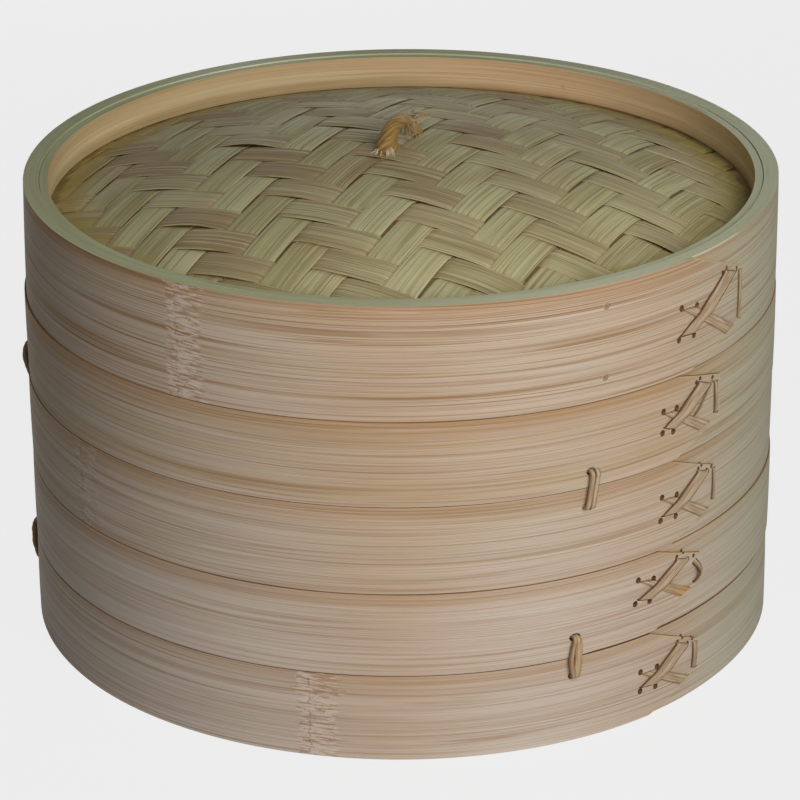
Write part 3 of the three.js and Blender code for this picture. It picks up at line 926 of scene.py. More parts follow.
# %% [markdown]
# ## The bands
#
# The lapped end of each outer hoop is held by flat cane: one strand climbs to the right over another that
# falls to the right, and a third stands upright along the blunt tip. Each row gives where a band ends, how
# far it swells on the left and the right at its top and its foot, where its culm node lies, and the corners
# of its strands in the order start left, start right, end left, end right, as angle and height above the
# stack's foot. Two more lists place the large and small bored holes that stay in sight beside the strands.

# %% The bands
BANDS = {
    "lid_outer_hoop": dict(
        body="lid", outside=BAND_OUTSIDE, lap=59.5, slope=29.0, top_cut=0.3, foot_cut=0.23, seed=3, warm=0.55,
        lined=1.0, knot_at=-33.8, bleached=1.0, left=(0.3, 1.0), right=(0.25, 0.45), lacing="lid_lacing",
        climb=[(43.8, 132.7), (47.1, 131.8), (54.2, 148.1), (57.6, 145.4)],
        fall=[(44.4, 141.2), (47.7, 140.2), (54.9, 125.8), (57.5, 127.4)],
        tip=[(58.3, 129.4), (60.1, 127.2), (58.4, 145.2), (60.2, 144.2)],
        extra=[(49.2, 134.8), (50.0, 135.4), (57.3, 145.2), (58.0, 146.1)],
        large=[(43.7, 131.4), (47.0, 131.0), (44.1, 142.0), (47.5, 140.9)],
        small=[(53.8, 147.7), (54.9, 148.5), (57.1, 144.9), (58.0, 146.3), (50.1, 135.3)],
    ),
    "upper_tier_upper_band": dict(
        body="upper_tier", outside=UPPER_BAND_OUTSIDE, lap=53.8, slope=22.5, top_cut=0.21, foot_cut=0.3,
        seed=11, warm=0.85, lined=0.7, knot_at=-128.0, bleached=0.3, left=(1.2, 0.9), right=(-0.03, -0.05),
        lacing="upper_tier_upper_lacing",
        climb=[(40.7, 103.2), (43.1, 101.3), (47.9, 114.1), (51.1, 111.3)],
        fall=[(40.9, 107.6), (43.6, 107.2), (48.3, 97.1), (51.2, 98.0)],
        tip=[(52.1, 100.6), (53.6, 99.6), (51.9, 111.4), (53.3, 110.6)],
        extra=[(46.7, 102.6), (47.6, 103.4), (51.0, 111.6), (51.6, 112.4)],
        large=[(40.6, 101.3), (42.8, 100.5), (40.7, 108.7), (43.4, 108.3)],
        small=[(47.7, 114.2), (48.6, 114.9), (50.3, 111.2), (51.7, 113.1)],
    ),
    "upper_tier_lower_band": dict(
        body="upper_tier", outside=BAND_OUTSIDE, lap=53.5, slope=23.5, top_cut=0.3, foot_cut=0.27, seed=23,
        warm=0.4, lined=0.5, knot_at=-55.6, bleached=0.45, left=(1.6, 1.35), right=(0.3, 0.15),
        lacing="upper_tier_lower_lacing",
        climb=[(40.9, 71.5), (44.3, 70.7), (48.6, 82.1), (51.7, 79.7)],
        fall=[(41.3, 77.0), (44.4, 76.2), (49.6, 65.1), (52.0, 66.4)],
        tip=[(52.4, 69.2), (53.8, 68.4), (52.5, 80.0), (53.7, 79.4)],
        extra=None,
        large=[(40.8, 70.0), (44.0, 69.5), (41.0, 78.2), (44.1, 77.1)],
        small=[(49.0, 82.7), (49.8, 83.4), (51.1, 80.6), (52.4, 80.9)],
    ),
    "lower_tier_upper_band": dict(
        body="lower_tier", outside=UPPER_BAND_OUTSIDE, lap=50.0, slope=22.0, top_cut=0.26, foot_cut=0.36,
        seed=37, warm=0.1, lined=0.45, knot_at=-118.0, bleached=0.3, left=(0.9, 0.9), right=(-0.03, -0.15),
        lacing="lower_tier_upper_lacing",
        climb=[(36.3, 44.9), (39.1, 43.4), (43.9, 53.9), (47.0, 52.0)],
        fall=[(36.8, 51.0), (39.9, 49.6), (45.2, 39.7), (47.5, 41.3)],
        tip=[(48.1, 42.9), (48.9, 41.9), (47.9, 49.4), (49.0, 50.4)],
        extra=None,
        large=[(36.0, 43.6), (38.8, 42.8), (36.5, 51.8), (39.5, 50.4)],
        small=[(44.3, 54.7), (45.8, 55.3), (46.8, 52.2), (48.2, 52.1)],
    ),
    "lower_tier_lower_band": dict(
        body="lower_tier", outside=BAND_OUTSIDE, lap=50.0, slope=23.5, top_cut=0.33, foot_cut=0.25, seed=41,
        warm=0.0, lined=0.5, knot_at=-14.0, bleached=1.0, left=(1.4, 1.5), right=(-0.12, 0.2),
        lacing="lower_tier_lower_lacing",
        climb=[(37.3, 11.9), (40.8, 11.0), (44.8, 22.5), (47.7, 19.8)],
        fall=[(37.8, 16.4), (41.1, 16.0), (45.9, 6.5), (48.1, 8.0)],
        tip=[(48.5, 10.6), (50.2, 9.6), (48.7, 19.6), (50.3, 18.6)],
        extra=None,
        large=[(37.5, 10.4), (40.6, 9.9), (37.5, 17.4), (40.8, 17.1)],
        small=[(45.2, 22.8), (46.4, 23.5), (47.6, 20.2), (48.8, 20.9)],
    ),
}
LOOP_INSET = 1.0
LOOPS = {
    "upper_tier": dict(first=27.8, step=123.0, foot=82.2, top=96.5, width=4.2, lifts=(0.0, 0.0, 2.0)),
    "lower_tier": dict(first=25.5, step=124.2, foot=22.9, top=38.9, width=4.8, lifts=(0.0, 0.0, -4.0)),
}

# %% [markdown]
# ## Lacing
#
# A ribbon of cane comes up out of its slot, turns over a tight bend, lies on the band, and dives into the
# next slot. Its place is worked out in two steps: a path of distance and lift gives the side view, and the
# four corners shear it to the slots' own slant. The climbing ribbon rides over the falling one by that one's
# thickness.

# %% A ribbon's side view
RIBBON_BEND = 0.7
RIBBON_DIVE = 2.6
RIBBON_STEPS = 34
HUMP_LENGTH = 3.6


def ribbon_path(span, lift, hump, hump_at, bow):
    """Distance and height of a ribbon's middle: an arc up, a run with a bell-shaped hump, and an arc down."""
    corner = np.linspace(0, np.pi / 2, 7)
    rise = np.stack([RIBBON_BEND * (1 - np.cos(corner)), lift - RIBBON_BEND * (1 - np.sin(corner))], -1)
    flat = np.linspace(RIBBON_BEND, span - RIBBON_BEND, RIBBON_STEPS)
    run = np.stack([flat, np.full(RIBBON_STEPS, lift)], -1)[1:-1]
    fall = np.stack([span - rise[::-1, 0], rise[::-1, 1]], -1)
    path = np.concatenate([[[0, -RIBBON_DIVE]], rise, run, fall, [[span, -RIBBON_DIVE]]])
    share = np.clip(path[:, 0] / span, 0, 1)
    bell = hump * np.exp(-(((share - hump_at) * span / HUMP_LENGTH) ** 2))
    path[:, 1] += np.where(path[:, 1] > 0, bell + bow * np.sin(np.pi * share), 0)
    return path


# %% A ribbon
def ribbon(shell, radius, corners, lift, tone, mark, hump=0.0, hump_at=0.5, bow=0.1, droop=0.0, sway=0.0,
           gold=0.0, thickness=0.5):
    """Adds a ribbon between its corners. Droop lowers its right edge, and sway bends it sideways."""
    scale = np.array([math.radians(radius), 1.0])
    start_left, start_right, end_left, end_right = (np.array(c) * scale for c in corners)
    middle = (end_left + end_right - start_left - start_right) / 2
    span = np.linalg.norm(middle)
    path = ribbon_path(span, lift + thickness / 2, hump, hump_at, bow)
    normal = turned_left(unit(np.gradient(path, axis=0)))
    turn = full_turn(24)
    across = squared(np.cos(turn), 0.5)
    up = squared(np.sin(turn), 0.4) * thickness / 2
    u = ((path[:, :1] + normal[:, :1] * up) / span)[..., None]
    v = ((across + 1) / 2)[None, :, None]
    place = (1 - u) * ((1 - v) * start_left + v * start_right) + u * ((1 - v) * end_left + v * end_right)
    flat = np.clip(u[..., 0], 0, 1)
    lying = smooth((path[:, 1:] + 0.3) / 0.6)
    beyond = (place[..., 0] + sway * np.sin(np.pi * flat)) / scale[0]
    out = radius + path[:, 1:] + normal[:, 1:] * up - droop * smooth((across + 0.2) / 1.2) * lying
    grid = around(out, beyond, place[..., 1])
    heading = middle / span
    slot = start_left - start_right
    width = abs(heading[0] * slot[1] - heading[1] * slot[0])
    shell.sweep(
        grid, run_length(path)[:, None] + tone * 50, across * width / 2, tone=tone,
        side=(1 - np.abs(across)) * width / 2, mark=mark, gold=gold * smooth((flat - 0.6) / 0.25),
    )


# %% [markdown]
# A ribbon leaves the band through a thin slot that is cut to its slant, and the thread that was pulled
# through beside it leaves a round hole. In the lower tier's upper band, one strand has aged to gold, and the
# upright one has come loose and bows out.

# %% Lacing of a band
SLOT_DEPTH = 3.2
SLOT_HALF_HEIGHT = 0.42
DOT_DEPTH = 3.4
LARGE_DOT = 1.05
SMALL_DOT = 0.72
BOWED_LACING = "lower_tier_upper_lacing"


def slot_between(bars, radius, first, second):
    """Adds the bar that cuts the thin slot between two corners of a ribbon."""
    run = math.radians(second[0] - first[0]) * radius
    climb = second[1] - first[1]
    half = math.hypot(run, climb) / 2 + 0.1
    tilt = math.degrees(math.atan2(climb, run))
    angle, z = (first[0] + second[0]) / 2, (first[1] + second[1]) / 2
    inner, outer = radius - SLOT_DEPTH, radius + BORE_PAST
    radial_bar(bars, angle, z, inner, outer, half, SLOT_HALF_HEIGHT, tilt=tilt, power=0.6)


def lace(spec, bars):
    """Makes the lacing of a band, and adds its holes to the bars."""
    radius = spec["outside"]
    bowed = spec["lacing"] == BOWED_LACING
    shell = Shell()
    # in each ribbon call, the third number after the corners is mark: the strength of the shade painted along
    # the edges
    ribbon(shell, radius, spec["fall"], 0.04, 0.31, 0.35, gold=0.8 if bowed else 0.0, thickness=0.42)
    if spec["extra"] is not None:
        ribbon(shell, radius, spec["extra"], 0.1, 0.95, 0.55, hump=0.3, hump_at=0.2)
    ribbon(shell, radius, spec["climb"], 0.05, 0.62, 1.0, hump=0.42, hump_at=0.38, bow=0.16)
    if bowed:
        ribbon(shell, radius, spec["tip"], 0.1, 0.5, 0.95, bow=1.3, droop=0.5, sway=1.5, thickness=0.6)
    else:
        ribbon(shell, radius, spec["tip"], 0.05, 0.87, 0.8, bow=0.2, droop=0.85)
    for size, dots in ((LARGE_DOT, spec["large"]), (SMALL_DOT, spec["small"])):
        for angle, z in dots:
            radial_bar(bars, angle, z, radius - DOT_DEPTH, radius + BORE_PAST, size, size * 1.05)
    for key in ("fall", "climb", "tip"):
        corners = spec[key]
        slot_between(bars, radius, corners[0], corners[1])
        slot_between(bars, radius, corners[2], corners[3])
    shell.piece(spec["lacing"] + "_cane", spec["body"], CANE, [spec["lacing"]])


# %% [markdown]
# ## Making the bands
#
# Each tier has three binding loops, and their holes go through the bands and the hoops behind them. Each
# band swells on the left and gives a little on the right. The two bands of the lower tier part to the right
# of their loop, where a dark gap shows.

# %% Places of the loops and the pins
def loop_holes(body):
    """The angle and height of each hole of a tier's three loops, and half the holes' width."""
    loop = LOOPS[body]
    half = loop["width"] / 2 - LOOP_BORE_EASE
    for number, lift in enumerate(loop["lifts"]):
        for z in (loop["foot"] + LOOP_INSET, loop["top"] - LOOP_INSET):
            yield loop["first"] + loop["step"] * number, z + lift, half


def pin_bars(bars, z, inner, outer):
    """Adds bars for the three pins of one row."""
    for angle in PIN_ANGLES:
        radial_bar(bars, angle, z, inner - BORE_PAST, outer + BORE_PAST, PIN_BORE, PIN_BORE)


# %% Making the bands
SWELL_LEFT = (-87.0, 42.0)
SWELL_RIGHT = (88.0, 34.0)
UNEVEN = 0.07


def swelling(spec):
    """Millimetres out of round: a bell left and one right, each running from its top to its foot value."""
    def swell(angle, share):
        left = spec["left"][0] * share + spec["left"][1] * (1 - share)
        right = spec["right"][0] * share + spec["right"][1] * (1 - share)
        total = left * bump(angle, *SWELL_LEFT) + right * bump(angle, *SWELL_RIGHT)
        return total + UNEVEN * ripple(angle, spec["seed"] + 5, (3, 4, 6)) - UNEVEN
    return swell


def parting(angle):
    """The gap under the lower tier's upper band: a hair at the front, over half a millimetre on the right."""
    turned = np.mod(angle, 360)
    return 0.1 + 0.5 * smooth((turned - 25) / 4) * smooth((150 - turned) / 40)


for node, spec in BANDS.items():
    foot, top = heights(node)
    outside = spec["outside"]
    on_lid = spec["body"] == "lid"
    shared = {key: spec[key] for key in ("slope", "top_cut", "foot_cut", "warm", "lined", "bleached")}
    strip = Shell()
    wound_strip(
        strip, spec["lap"], foot, top - foot, outside, (outside - BAND_INSIDE) / BAND_LAYERS, BAND_LAYERS,
        spec["seed"], spec["knot_at"], swell=swelling(spec), crest=float(on_lid),
        foot_gap=parting if node == "lower_tier_upper_band" else None, wave=0.03 if on_lid else 0.1,
        corner=0.03 if on_lid else 0.07, **shared,
    )
    band = strip.piece(node + "_strip", spec["body"], BAND_BAMBOO, [node])
    bars = Shell()
    lace(spec, bars)
    if on_lid:
        for z in PIN_HEIGHTS.values():
            pin_bars(bars, z, BAND_INSIDE, outside)
    else:
        for angle, z, half in loop_holes(spec["body"]):
            if foot < z < top:
                radial_bar(bars, angle, z, BAND_INSIDE - BORE_PAST, outside + 3, half, LOOP_BORE_HALF_HEIGHT)
    bore(band, bars)

# %% [markdown]
# ## Inner hoops
#
# The hoops inside follow the same recipe with plain square ends. They are warmer in tone, because planing
# exposes the inner side of the culm wall there.

# %% Inner hoops
def inner_hoop(node, body, outside, inside, layers, lap, seed, knot_at, bars=None, crest=0.0):
    """Winds one inner hoop over a node's height, and bores it where bars are given."""
    foot, top = heights(node)
    strip = Shell()
    wound_strip(
        strip, lap, foot, top - foot, outside, (outside - inside) / layers, layers, seed, knot_at, wave=0.04,
        steps=150, warm=0.3, crest=crest, corner=0.03 if crest else 0.07,
    )
    hoop = strip.piece(node + "_strip", body, HOOP_BAMBOO, [node])
    if bars is not None:
        bore(hoop, bars)


upper_bars = Shell()
pin_bars(upper_bars, PIN_HEIGHTS["upper"], RIM_HOOP_INSIDE, WALL_OUTSIDE)
inner_hoop("lid_upper_inner_hoop", "lid", RIM_HOOP_OUTSIDE, RIM_HOOP_INSIDE, layers=2, lap=-30.0, seed=52,
           knot_at=205.0, bars=upper_bars, crest=1.0)
lower_bars = Shell()
pin_bars(lower_bars, PIN_HEIGHTS["lower"], WALL_INSIDE, WALL_OUTSIDE)
inner_hoop("lid_lower_inner_hoop", "lid", WALL_OUTSIDE, WALL_INSIDE, layers=4, lap=250.0, seed=57,
           knot_at=80.0, bars=lower_bars)
for row, body in enumerate(TIERS):
    seed = 60 + 10 * row
    bars = Shell()
    for angle, z, half in loop_holes(body):
        inner, outer = RETAINER_INSIDE - BORE_PAST, WALL_OUTSIDE + BORE_PAST
        radial_bar(bars, angle, z, inner, outer, half, LOOP_BORE_HALF_HEIGHT)
    inner_hoop(body + "_wall_hoop", body, WALL_OUTSIDE, WALL_INSIDE, layers=4, lap=200.0 + 40 * row,
               seed=seed, knot_at=60.0, bars=bars)
    inner_hoop(body + "_ledge_hoop", body, LEDGE_OUTSIDE, LEDGE_INSIDE, layers=3, lap=320.0, seed=seed + 1,
               knot_at=150.0)
    inner_hoop(body + "_retaining_hoop", body, LEDGE_OUTSIDE, RETAINER_INSIDE, layers=3, lap=110.0,
               seed=seed + 2, knot_at=10.0, bars=bars)

# %% [markdown]
# ## Pins
#
# Bamboo pins lock the lid's hoops to each other. They show as end grain just inside the outside, and are
# pared flush with the inner wall. A pin is turned from pairs of a place along the radius and the pin's own
# radius there.

# %% Pins
PIN_INNER_END = ((0.02, 1.0), (0.04, 1.1), (0.6, 1.1))
PIN_OUTER_END = ((-0.5, 1.04), (-0.22, 1.0), (-0.16, 0.72), (-0.2, 0.5), (-0.22, 0.1))


def pin(node, angle, z, inside):
    """Turns a pin. Its inner end is measured from inside, and its outer end from the band's outside."""
    turn = full_turn(20)
    out, side = radial_axes(angle)
    places = [inside + place for place, _ in PIN_INNER_END]
    places += [BAND_OUTSIDE + place for place, _ in PIN_OUTER_END]
    radii = np.array([radius for _, radius in PIN_INNER_END + PIN_OUTER_END])
    rings = [
        out * place + side * (radius * np.cos(turn))[:, None] + UP * (z + radius * np.sin(turn))[:, None]
        for place, radius in zip(places, radii)
    ]
    inner = np.repeat([1.0, 0.0], [len(PIN_INNER_END), len(PIN_OUTER_END)])
    shell = Shell()
    shell.sweep(rings, 0.0, 0.0, middle=smooth((0.85 - radii) / 0.3)[:, None], inner=inner[:, None])
    shell.piece(node + "_bamboo", "lid", PIN_BAMBOO, [node])


for row, z in PIN_HEIGHTS.items():
    for number, angle in enumerate(PIN_ANGLES, 1):
        pin(f"lid_{row}_pin_{number}", angle, z, RIM_HOOP_INSIDE if row == "upper" else WALL_INSIDE)

# %% [markdown]
# ## Binding loops
#
# Each tier's two bands hang together by cane loops: two strands run side by side through one pair of holes.
# In the upper tier they pinch at the middle and lean a little, and in the lower tier they make a lens, with
# the broad strand in front. The path is a rectangle with round corners, and only its outer run has these
# shapes.

# %% The loops' path
LOOP_CORNER = 1.25
LOOP_STANDOFF = 1.25
LOOP_STEPS = 150


def rounded_path(left, right, foot, top):
    """A rectangle with round corners: points at equal steps, the directions out of it, and lengths gone."""
    corner = LOOP_CORNER
    arcs = []
    for cx, cz, start in ((right, top, 0), (left, top, 90), (left, foot, 180), (right, foot, 270)):
        x = cx - corner if start in (0, 270) else cx + corner
        z = cz - corner if start in (0, 90) else cz + corner
        turn = np.radians(np.linspace(start, start + 90, 8))
        arcs.append(np.stack([x + corner * np.cos(turn), z + corner * np.sin(turn)], -1))
    ring = np.concatenate([*arcs, arcs[0][:1]])
    spots = np.linspace(0, run_length(ring)[-1], LOOP_STEPS, endpoint=False)
    path = at_lengths(ring, spots)
    ahead = unit(np.roll(path, -1, 0) - np.roll(path, 1, 0))
    return path, -turned_left(ahead), spots


# %% The loops' strands
def pinched_pair(share):
    """Place sideways, half width and lift of both strands of an upper tier's loop, by the share of height."""
    lean = 1.8 * (share - 0.5)
    apart = 0.7 + 0.42 * (2 * share - 1) ** 2
    cross = 0.2 * np.sin(np.pi * share)
    return (lean - apart, 0.92 + 0 * share, -cross), (lean + apart * 0.9, 0.98 + 0 * share, cross)


def lens_pair(share):
    """The same for a lower tier's loop: the left strand bows out, and the broad one lies in front."""
    belly = np.sin(np.pi * share)
    lean = 0.5 * share - 0.2
    bowed = (lean - 0.75 - 1.0 * belly, 0.72 + 0.1 * belly, -0.2 * belly)
    broad = (lean + 0.4 + 0.1 * belly, 1.1 + 0.4 * belly, 0.1 * belly)
    return bowed, broad


# %% [markdown]
# The third loop of each tier has worked loose, and shows at the left outline. Its thick strands stand off
# the band and taper in towards their lower hole. The lower tier's sags as well.

# %% Binding loops
LOOP_REACH = {"tight": 128.8, "slack": 129.15}
STRAND_DEPTH = {"tight": 0.64, "slack": 0.95}
SLACK_SAG = {"upper_tier": 0.0, "lower_tier": 3.2}
SLACK_TAPER = {"upper_tier": (1.4, 0.6), "lower_tier": (1.0, 0.45)}


def slackened(path, share, on_outside, body, outer):
    """Lowers the outer run by the sag, and draws it in by a depth over a share of its height."""
    depth, reach = SLACK_TAPER[body]
    taper = depth * (1 - smooth(share / reach)) + 0.5 * smooth((share - 0.8) / 0.2)
    lowered = path[:, 1] - SLACK_SAG[body] * smooth((path[:, 0] - outer + 1.6) / 1.0)
    return np.stack([path[:, 0] - on_outside * taper, lowered], -1)


def binding_loop(node, body, angle, loop, number):
    """Sweeps two closed strands of elliptic section round the loop's path."""
    fit = "slack" if number == 2 else "tight"
    outer = LOOP_REACH[fit]
    foot = loop["foot"] + loop["lifts"][number] + LOOP_INSET
    top = loop["top"] + loop["lifts"][number] - LOOP_INSET
    shell = Shell()
    path, normal, spots = rounded_path(RETAINER_INSIDE - LOOP_STANDOFF, outer, foot, top)
    share = np.clip((path[:, 1] - foot) / (top - foot), 0, 1)
    on_outside = smooth((path[:, 0] - outer + 3) / 1.5)
    if fit == "slack":
        path = slackened(path, share, on_outside, body, outer)
    pair = pinched_pair(share) if body == "upper_tier" else lens_pair(share)
    turn = full_turn(18)
    out, side = radial_axes(angle)
    for strand, (place, half, lift) in zip((-1, 1), pair):
        sideways = place * on_outside + strand * 0.9 * (1 - on_outside)
        half = half * on_outside + 0.8 * (1 - on_outside)
        lumps = 1 + 0.05 * np.sin(spots * 1.3 + strand) + 0.04 * np.sin(spots * 2.9 + 2 * strand)
        up = (STRAND_DEPTH[fit] * lumps)[:, None] * squared(np.sin(turn), 0.8)
        up = up + (lift * on_outside)[:, None]
        across = half[:, None] * np.cos(turn)
        x = path[:, :1] + normal[:, :1] * up
        z = path[:, 1:] + normal[:, 1:] * up
        w = sideways[:, None] + across
        grid = out * x[..., None] + side * w[..., None] + UP * z[..., None]
        edge = (1 - np.abs(np.cos(turn))) * half[:, None]
        gold = 0.0 if body == "upper_tier" else 0.3
        tone = 0.3 + 0.3 * strand + 0.1 * number
        # mark paints shade along the strands' edges
        shell.sweep(grid, spots[:, None], across, closed=True, tone=tone, side=edge, mark=0.55, gold=gold)
    shell.piece(node + "_cane", body, CANE, [node])


for body, loop in LOOPS.items():
    for number in range(3):
        angle = loop["first"] + loop["step"] * number
        binding_loop(f"{body}_binding_loop_{number + 1}", body, angle, loop, number)

# %% [markdown]
# ## Woven lid
#
# The dome is a two-over-two twill, and the lining inside it a plain weave. In both, a strip lies over when
# its own number plus the crossing strip's number, counted round by the weave's repeat, falls in the first
# half. The repeat is 4 in the twill and 2 in the plain weave. A float is the stretch where a strip stays
# over.

# %% The rule of the weave
def lies_over(family, number, cell, repeat):
    """1 where this strip lies over the crossing one, and -1 where it lies under."""
    first_over = np.mod(number + cell, repeat) < repeat / 2
    return np.where(first_over, 1.0, -1.0) * (1 if family == 0 else -1)


def from_float_start(family, number, crossing, repeat):
    """Counts crossings from the start of a float, which comes half a repeat later in the second family."""
    return number + crossing + 0.5 - (0 if family == 0 else repeat / 2)


# %% [markdown]
# The dome under the weave is part of a sphere. The strips of one family run along a line turned a little
# from the back of the steamer, and the others run across it.

# %% The dome's form
DOME_EDGE = 145.75
DOME_RADIUS = 118.4
DOME_RISE = 20.0
WEAVE_TURN = 63.0
LID_ALONG = np.array([math.cos(math.radians(WEAVE_TURN)), math.sin(math.radians(WEAVE_TURN))])
LID_ACROSS = np.array([LID_ALONG[1], -LID_ALONG[0]])
STRIP_MARGIN = 0.6
STRIP_CROWN = 0.12
EDGE_THICKNESS = 0.55
NARROWEST_STRIP = 2.0


def cap(radius, rise=DOME_RISE):
    """Height of the dome over its edge, which is part of a sphere through the edge and the crown."""
    sphere = (DOME_RADIUS ** 2 + rise ** 2) / (2 * rise)
    inside = np.minimum(radius, DOME_RADIUS)
    return np.sqrt(sphere ** 2 - inside ** 2) - (sphere - rise)


# %% [markdown]
# Each strip looks up, at every crossing, whether it lies over or under, and moves between the two levels in
# the narrow gap between neighbours. Loose strips bow upwards along a float and lift one edge, which is what
# gives the real lid its dark slits. At the rim the hoops hold them down.

# %% Woven strips
def levels(weave, family, number, s):
    """1 over and -1 under along a strip, with an ease of the turn's length where two crossings meet."""
    pitch = weave["pitch"][1 - family]
    crossing = (s - weave["first"][1 - family]) / pitch
    near = np.round(crossing)
    off = crossing - near
    neighbour = near + np.where(off > 0, 1, -1)
    turn = weave["turn"] / pitch
    mix = smooth((np.abs(off) - (0.5 - turn)) / (2 * turn))
    here, beyond = (lies_over(family, number, cell, weave["repeat"]) for cell in (near, neighbour))
    return here * (1 - mix) + beyond * mix, crossing


def looseness(weave, family, number, crossing, columns):
    """How far a strip stands off along its floats: a bow by chance, and a lift of one edge on some floats."""
    start = from_float_start(family, number, crossing, weave["repeat"])
    span = weave["repeat"] / 2
    place = np.mod(start, weave["repeat"])
    float_number = np.floor(start / weave["repeat"])
    arc = np.where(place < span, np.sin(np.pi * np.clip(place / span, 0, 1)), 0) ** 1.3
    strength = chance(number, float_number, family)
    bow = weave["bow"][family] * (0.25 + strength) * arc
    lifted = np.where(chance(number, float_number, family + 5) > weave["calm"][family], 1.0, 0.1)
    tip = np.where(chance(number, float_number, family + 9) > 0.35, -1.0, 1.0)
    slant = np.clip(0.5 + 0.5 * tip * columns[None, :], 0, 1) ** 1.6
    return bow + weave["lift"][family] * lifted * strength * slant * arc


def wrapped(values):
    """The columns of a strip's top, and then every second one back again for its underside."""
    return np.concatenate([values, values[..., ::2][..., ::-1]], -1)


def woven_strip(shell, family, number, weave):
    """Adds one strip. Its height is the dome, plus its level at each crossing, a bow and a lifted edge."""
    pitch = weave["pitch"][family]
    tone = float(chance(number, family + 3))
    stray = weave["stray"] * (float(chance(number, family + 7)) - 0.5)
    offset = weave["first"][family] + number * pitch + stray
    half = (pitch - weave["gap"]) / 2
    limit = weave["radius"]
    low, high = max(offset - half, -limit + STRIP_MARGIN), min(offset + half, limit - STRIP_MARGIN)
    if high - low < NARROWEST_STRIP:
        return
    columns = np.linspace(-1, 1, weave["columns"])
    place = low + (high - low) * (columns + 1) / 2
    ends = np.sqrt(np.maximum(limit ** 2 - place ** 2, 1.0))
    rows = max(int(2 * ends.max() / weave["step"]), 8)
    share = np.linspace(-1, 1, rows)
    s = share[:, None] * ends[None, :]
    slip = weave["stray"] * 0.5 * np.sin(s / 47.0 + 6.28 * tone)
    across = place[None, :] + slip
    u, v = (s, across) if family == 0 else (across, s)
    xy = u[..., None] * LID_ALONG + v[..., None] * LID_ACROSS
    radius = np.hypot(xy[..., 0], xy[..., 1])
    up, crossing = levels(weave, family, number, s)
    calm = smooth((weave["grip"] - radius) / 9.0) * (1 - 0.75 * smooth((xy[..., 1] - 30) / 40))
    crown = STRIP_CROWN * (1 - columns[None, :] ** 2)
    loose = looseness(weave, family, number, crossing, columns) * calm
    height = weave["surface"](radius) + weave["rise"] * up + loose + crown
    thick = weave["thickness"]
    edge = np.array([EDGE_THICKNESS, *[1.0] * (weave["columns"] - 2), EDGE_THICKNESS])
    upper = np.concatenate([xy, (height + thick / 2 * edge)[..., None]], -1)
    lower_height = height[:, ::2] - thick / 2 * edge[None, ::2]
    lower = np.concatenate([xy[:, ::2], lower_height[..., None]], -1)[:, ::-1]
    grid = np.concatenate([upper, lower], 1)
    # under is 1 where a strip lies under the crossing one; the skin paints shade there
    under = np.clip(-up, 0, 1) + 0 * s
    # painted light: rises from the back left to the front right, where the lamp stands
    faded = smooth((0.57 * xy[..., 0] - 0.82 * xy[..., 1] + 15) / 110)
    shell.sweep(
        grid, wrapped(s) + 300 * tone, wrapped(place - offset)[None, :], family=float(family), tone=tone,
        side=wrapped(np.abs(columns))[None, :], low=wrapped(under), reach=wrapped(radius),
        faded=wrapped(faded),
    )


# %% [markdown]
# A weave lists, for its two families, the pitch of the strips and the place of the first, and how far strips
# bow, lift and stay calm. The rest goes for both: the repeat, how far a strip strays, the gap between
# neighbours, the outer radius, how many columns and how long a step a strip's mesh has, the length of a turn
# between two levels, the rise to a level, the thickness, and the radius where the hoops grip. The lining
# differs in a few of these.

# %% The dome and its lining
DOME_WEAVE = dict(
    pitch=(12.7, 12.3), first=(-18.75, -70.75), bow=(0.25, 0.4), lift=(0.35, 0.65), calm=(0.8, 0.7),
    repeat=4, stray=0.7, gap=0.8, radius=120.9, columns=9, step=1.45, turn=1.7, rise=0.4, thickness=0.5,
    grip=117.5, surface=lambda radius: DOME_EDGE - 0.78 + cap(radius),
)
LINING_WEAVE = dict(
    DOME_WEAVE, pitch=(21.0, 21.0), first=(0.0, 0.0), bow=(0.0, 0.0), lift=(0.0, 0.0), repeat=2, columns=7,
    step=2.5, turn=2.5, rise=0.2, thickness=0.36,
    surface=lambda radius: DOME_EDGE - 2.05 + cap(radius, DOME_RISE - 0.5),
)


def weave_sheet(name, node, weave, numbers):
    """Weaves the strips of both families into one piece."""
    sheet = Shell()
    for family in (0, 1):
        for number in numbers:
            woven_strip(sheet, family, number, weave)
    sheet.piece(name, "lid", WOVEN_BAMBOO, [node], sharp=50)


weave_sheet("lid_dome_weave", "lid_woven_dome", DOME_WEAVE, range(-12, 18))
weave_sheet("lid_lining_weave", "lid_dome_lining", LINING_WEAVE, range(-6, 7))

# %% [markdown]
# ## Carrying loop
#
# The loop is a hank of rattan fibres, twisted hard. It is thickest where the front leg enters the lid, with
# a fringe of pale broken fibres, and thins towards the back leg. Its middle line is an arch whose legs pass
# through the lid and turn inwards under the lining. The arch stands along the first family of strips.

# %% The loop's middle line
HANDLE_SPAN = 28.0
HANDLE_HEIGHT = 10.5
HANDLE_CENTRE = np.array([0.5, 1.5])
HANDLE_TOP_RADIUS = 2.6
HANDLE_LEAN = 2.2
HANDLE_BEND = 3.2
HANDLE_STEP = 0.4
TAIL_LENGTH = 7.0
TAIL_RISE = 2.2


def bezier(points, count):
    """A curve that is pulled towards its middle points, as the binomial mean of all of them."""
    t = np.linspace(0, 1, count)[:, None]
    degree = len(points) - 1
    shares = [math.comb(degree, k) * (1 - t) ** (degree - k) * t ** k for k in range(len(points))]
    return sum(share * np.array(point, float) for share, point in zip(shares, points))


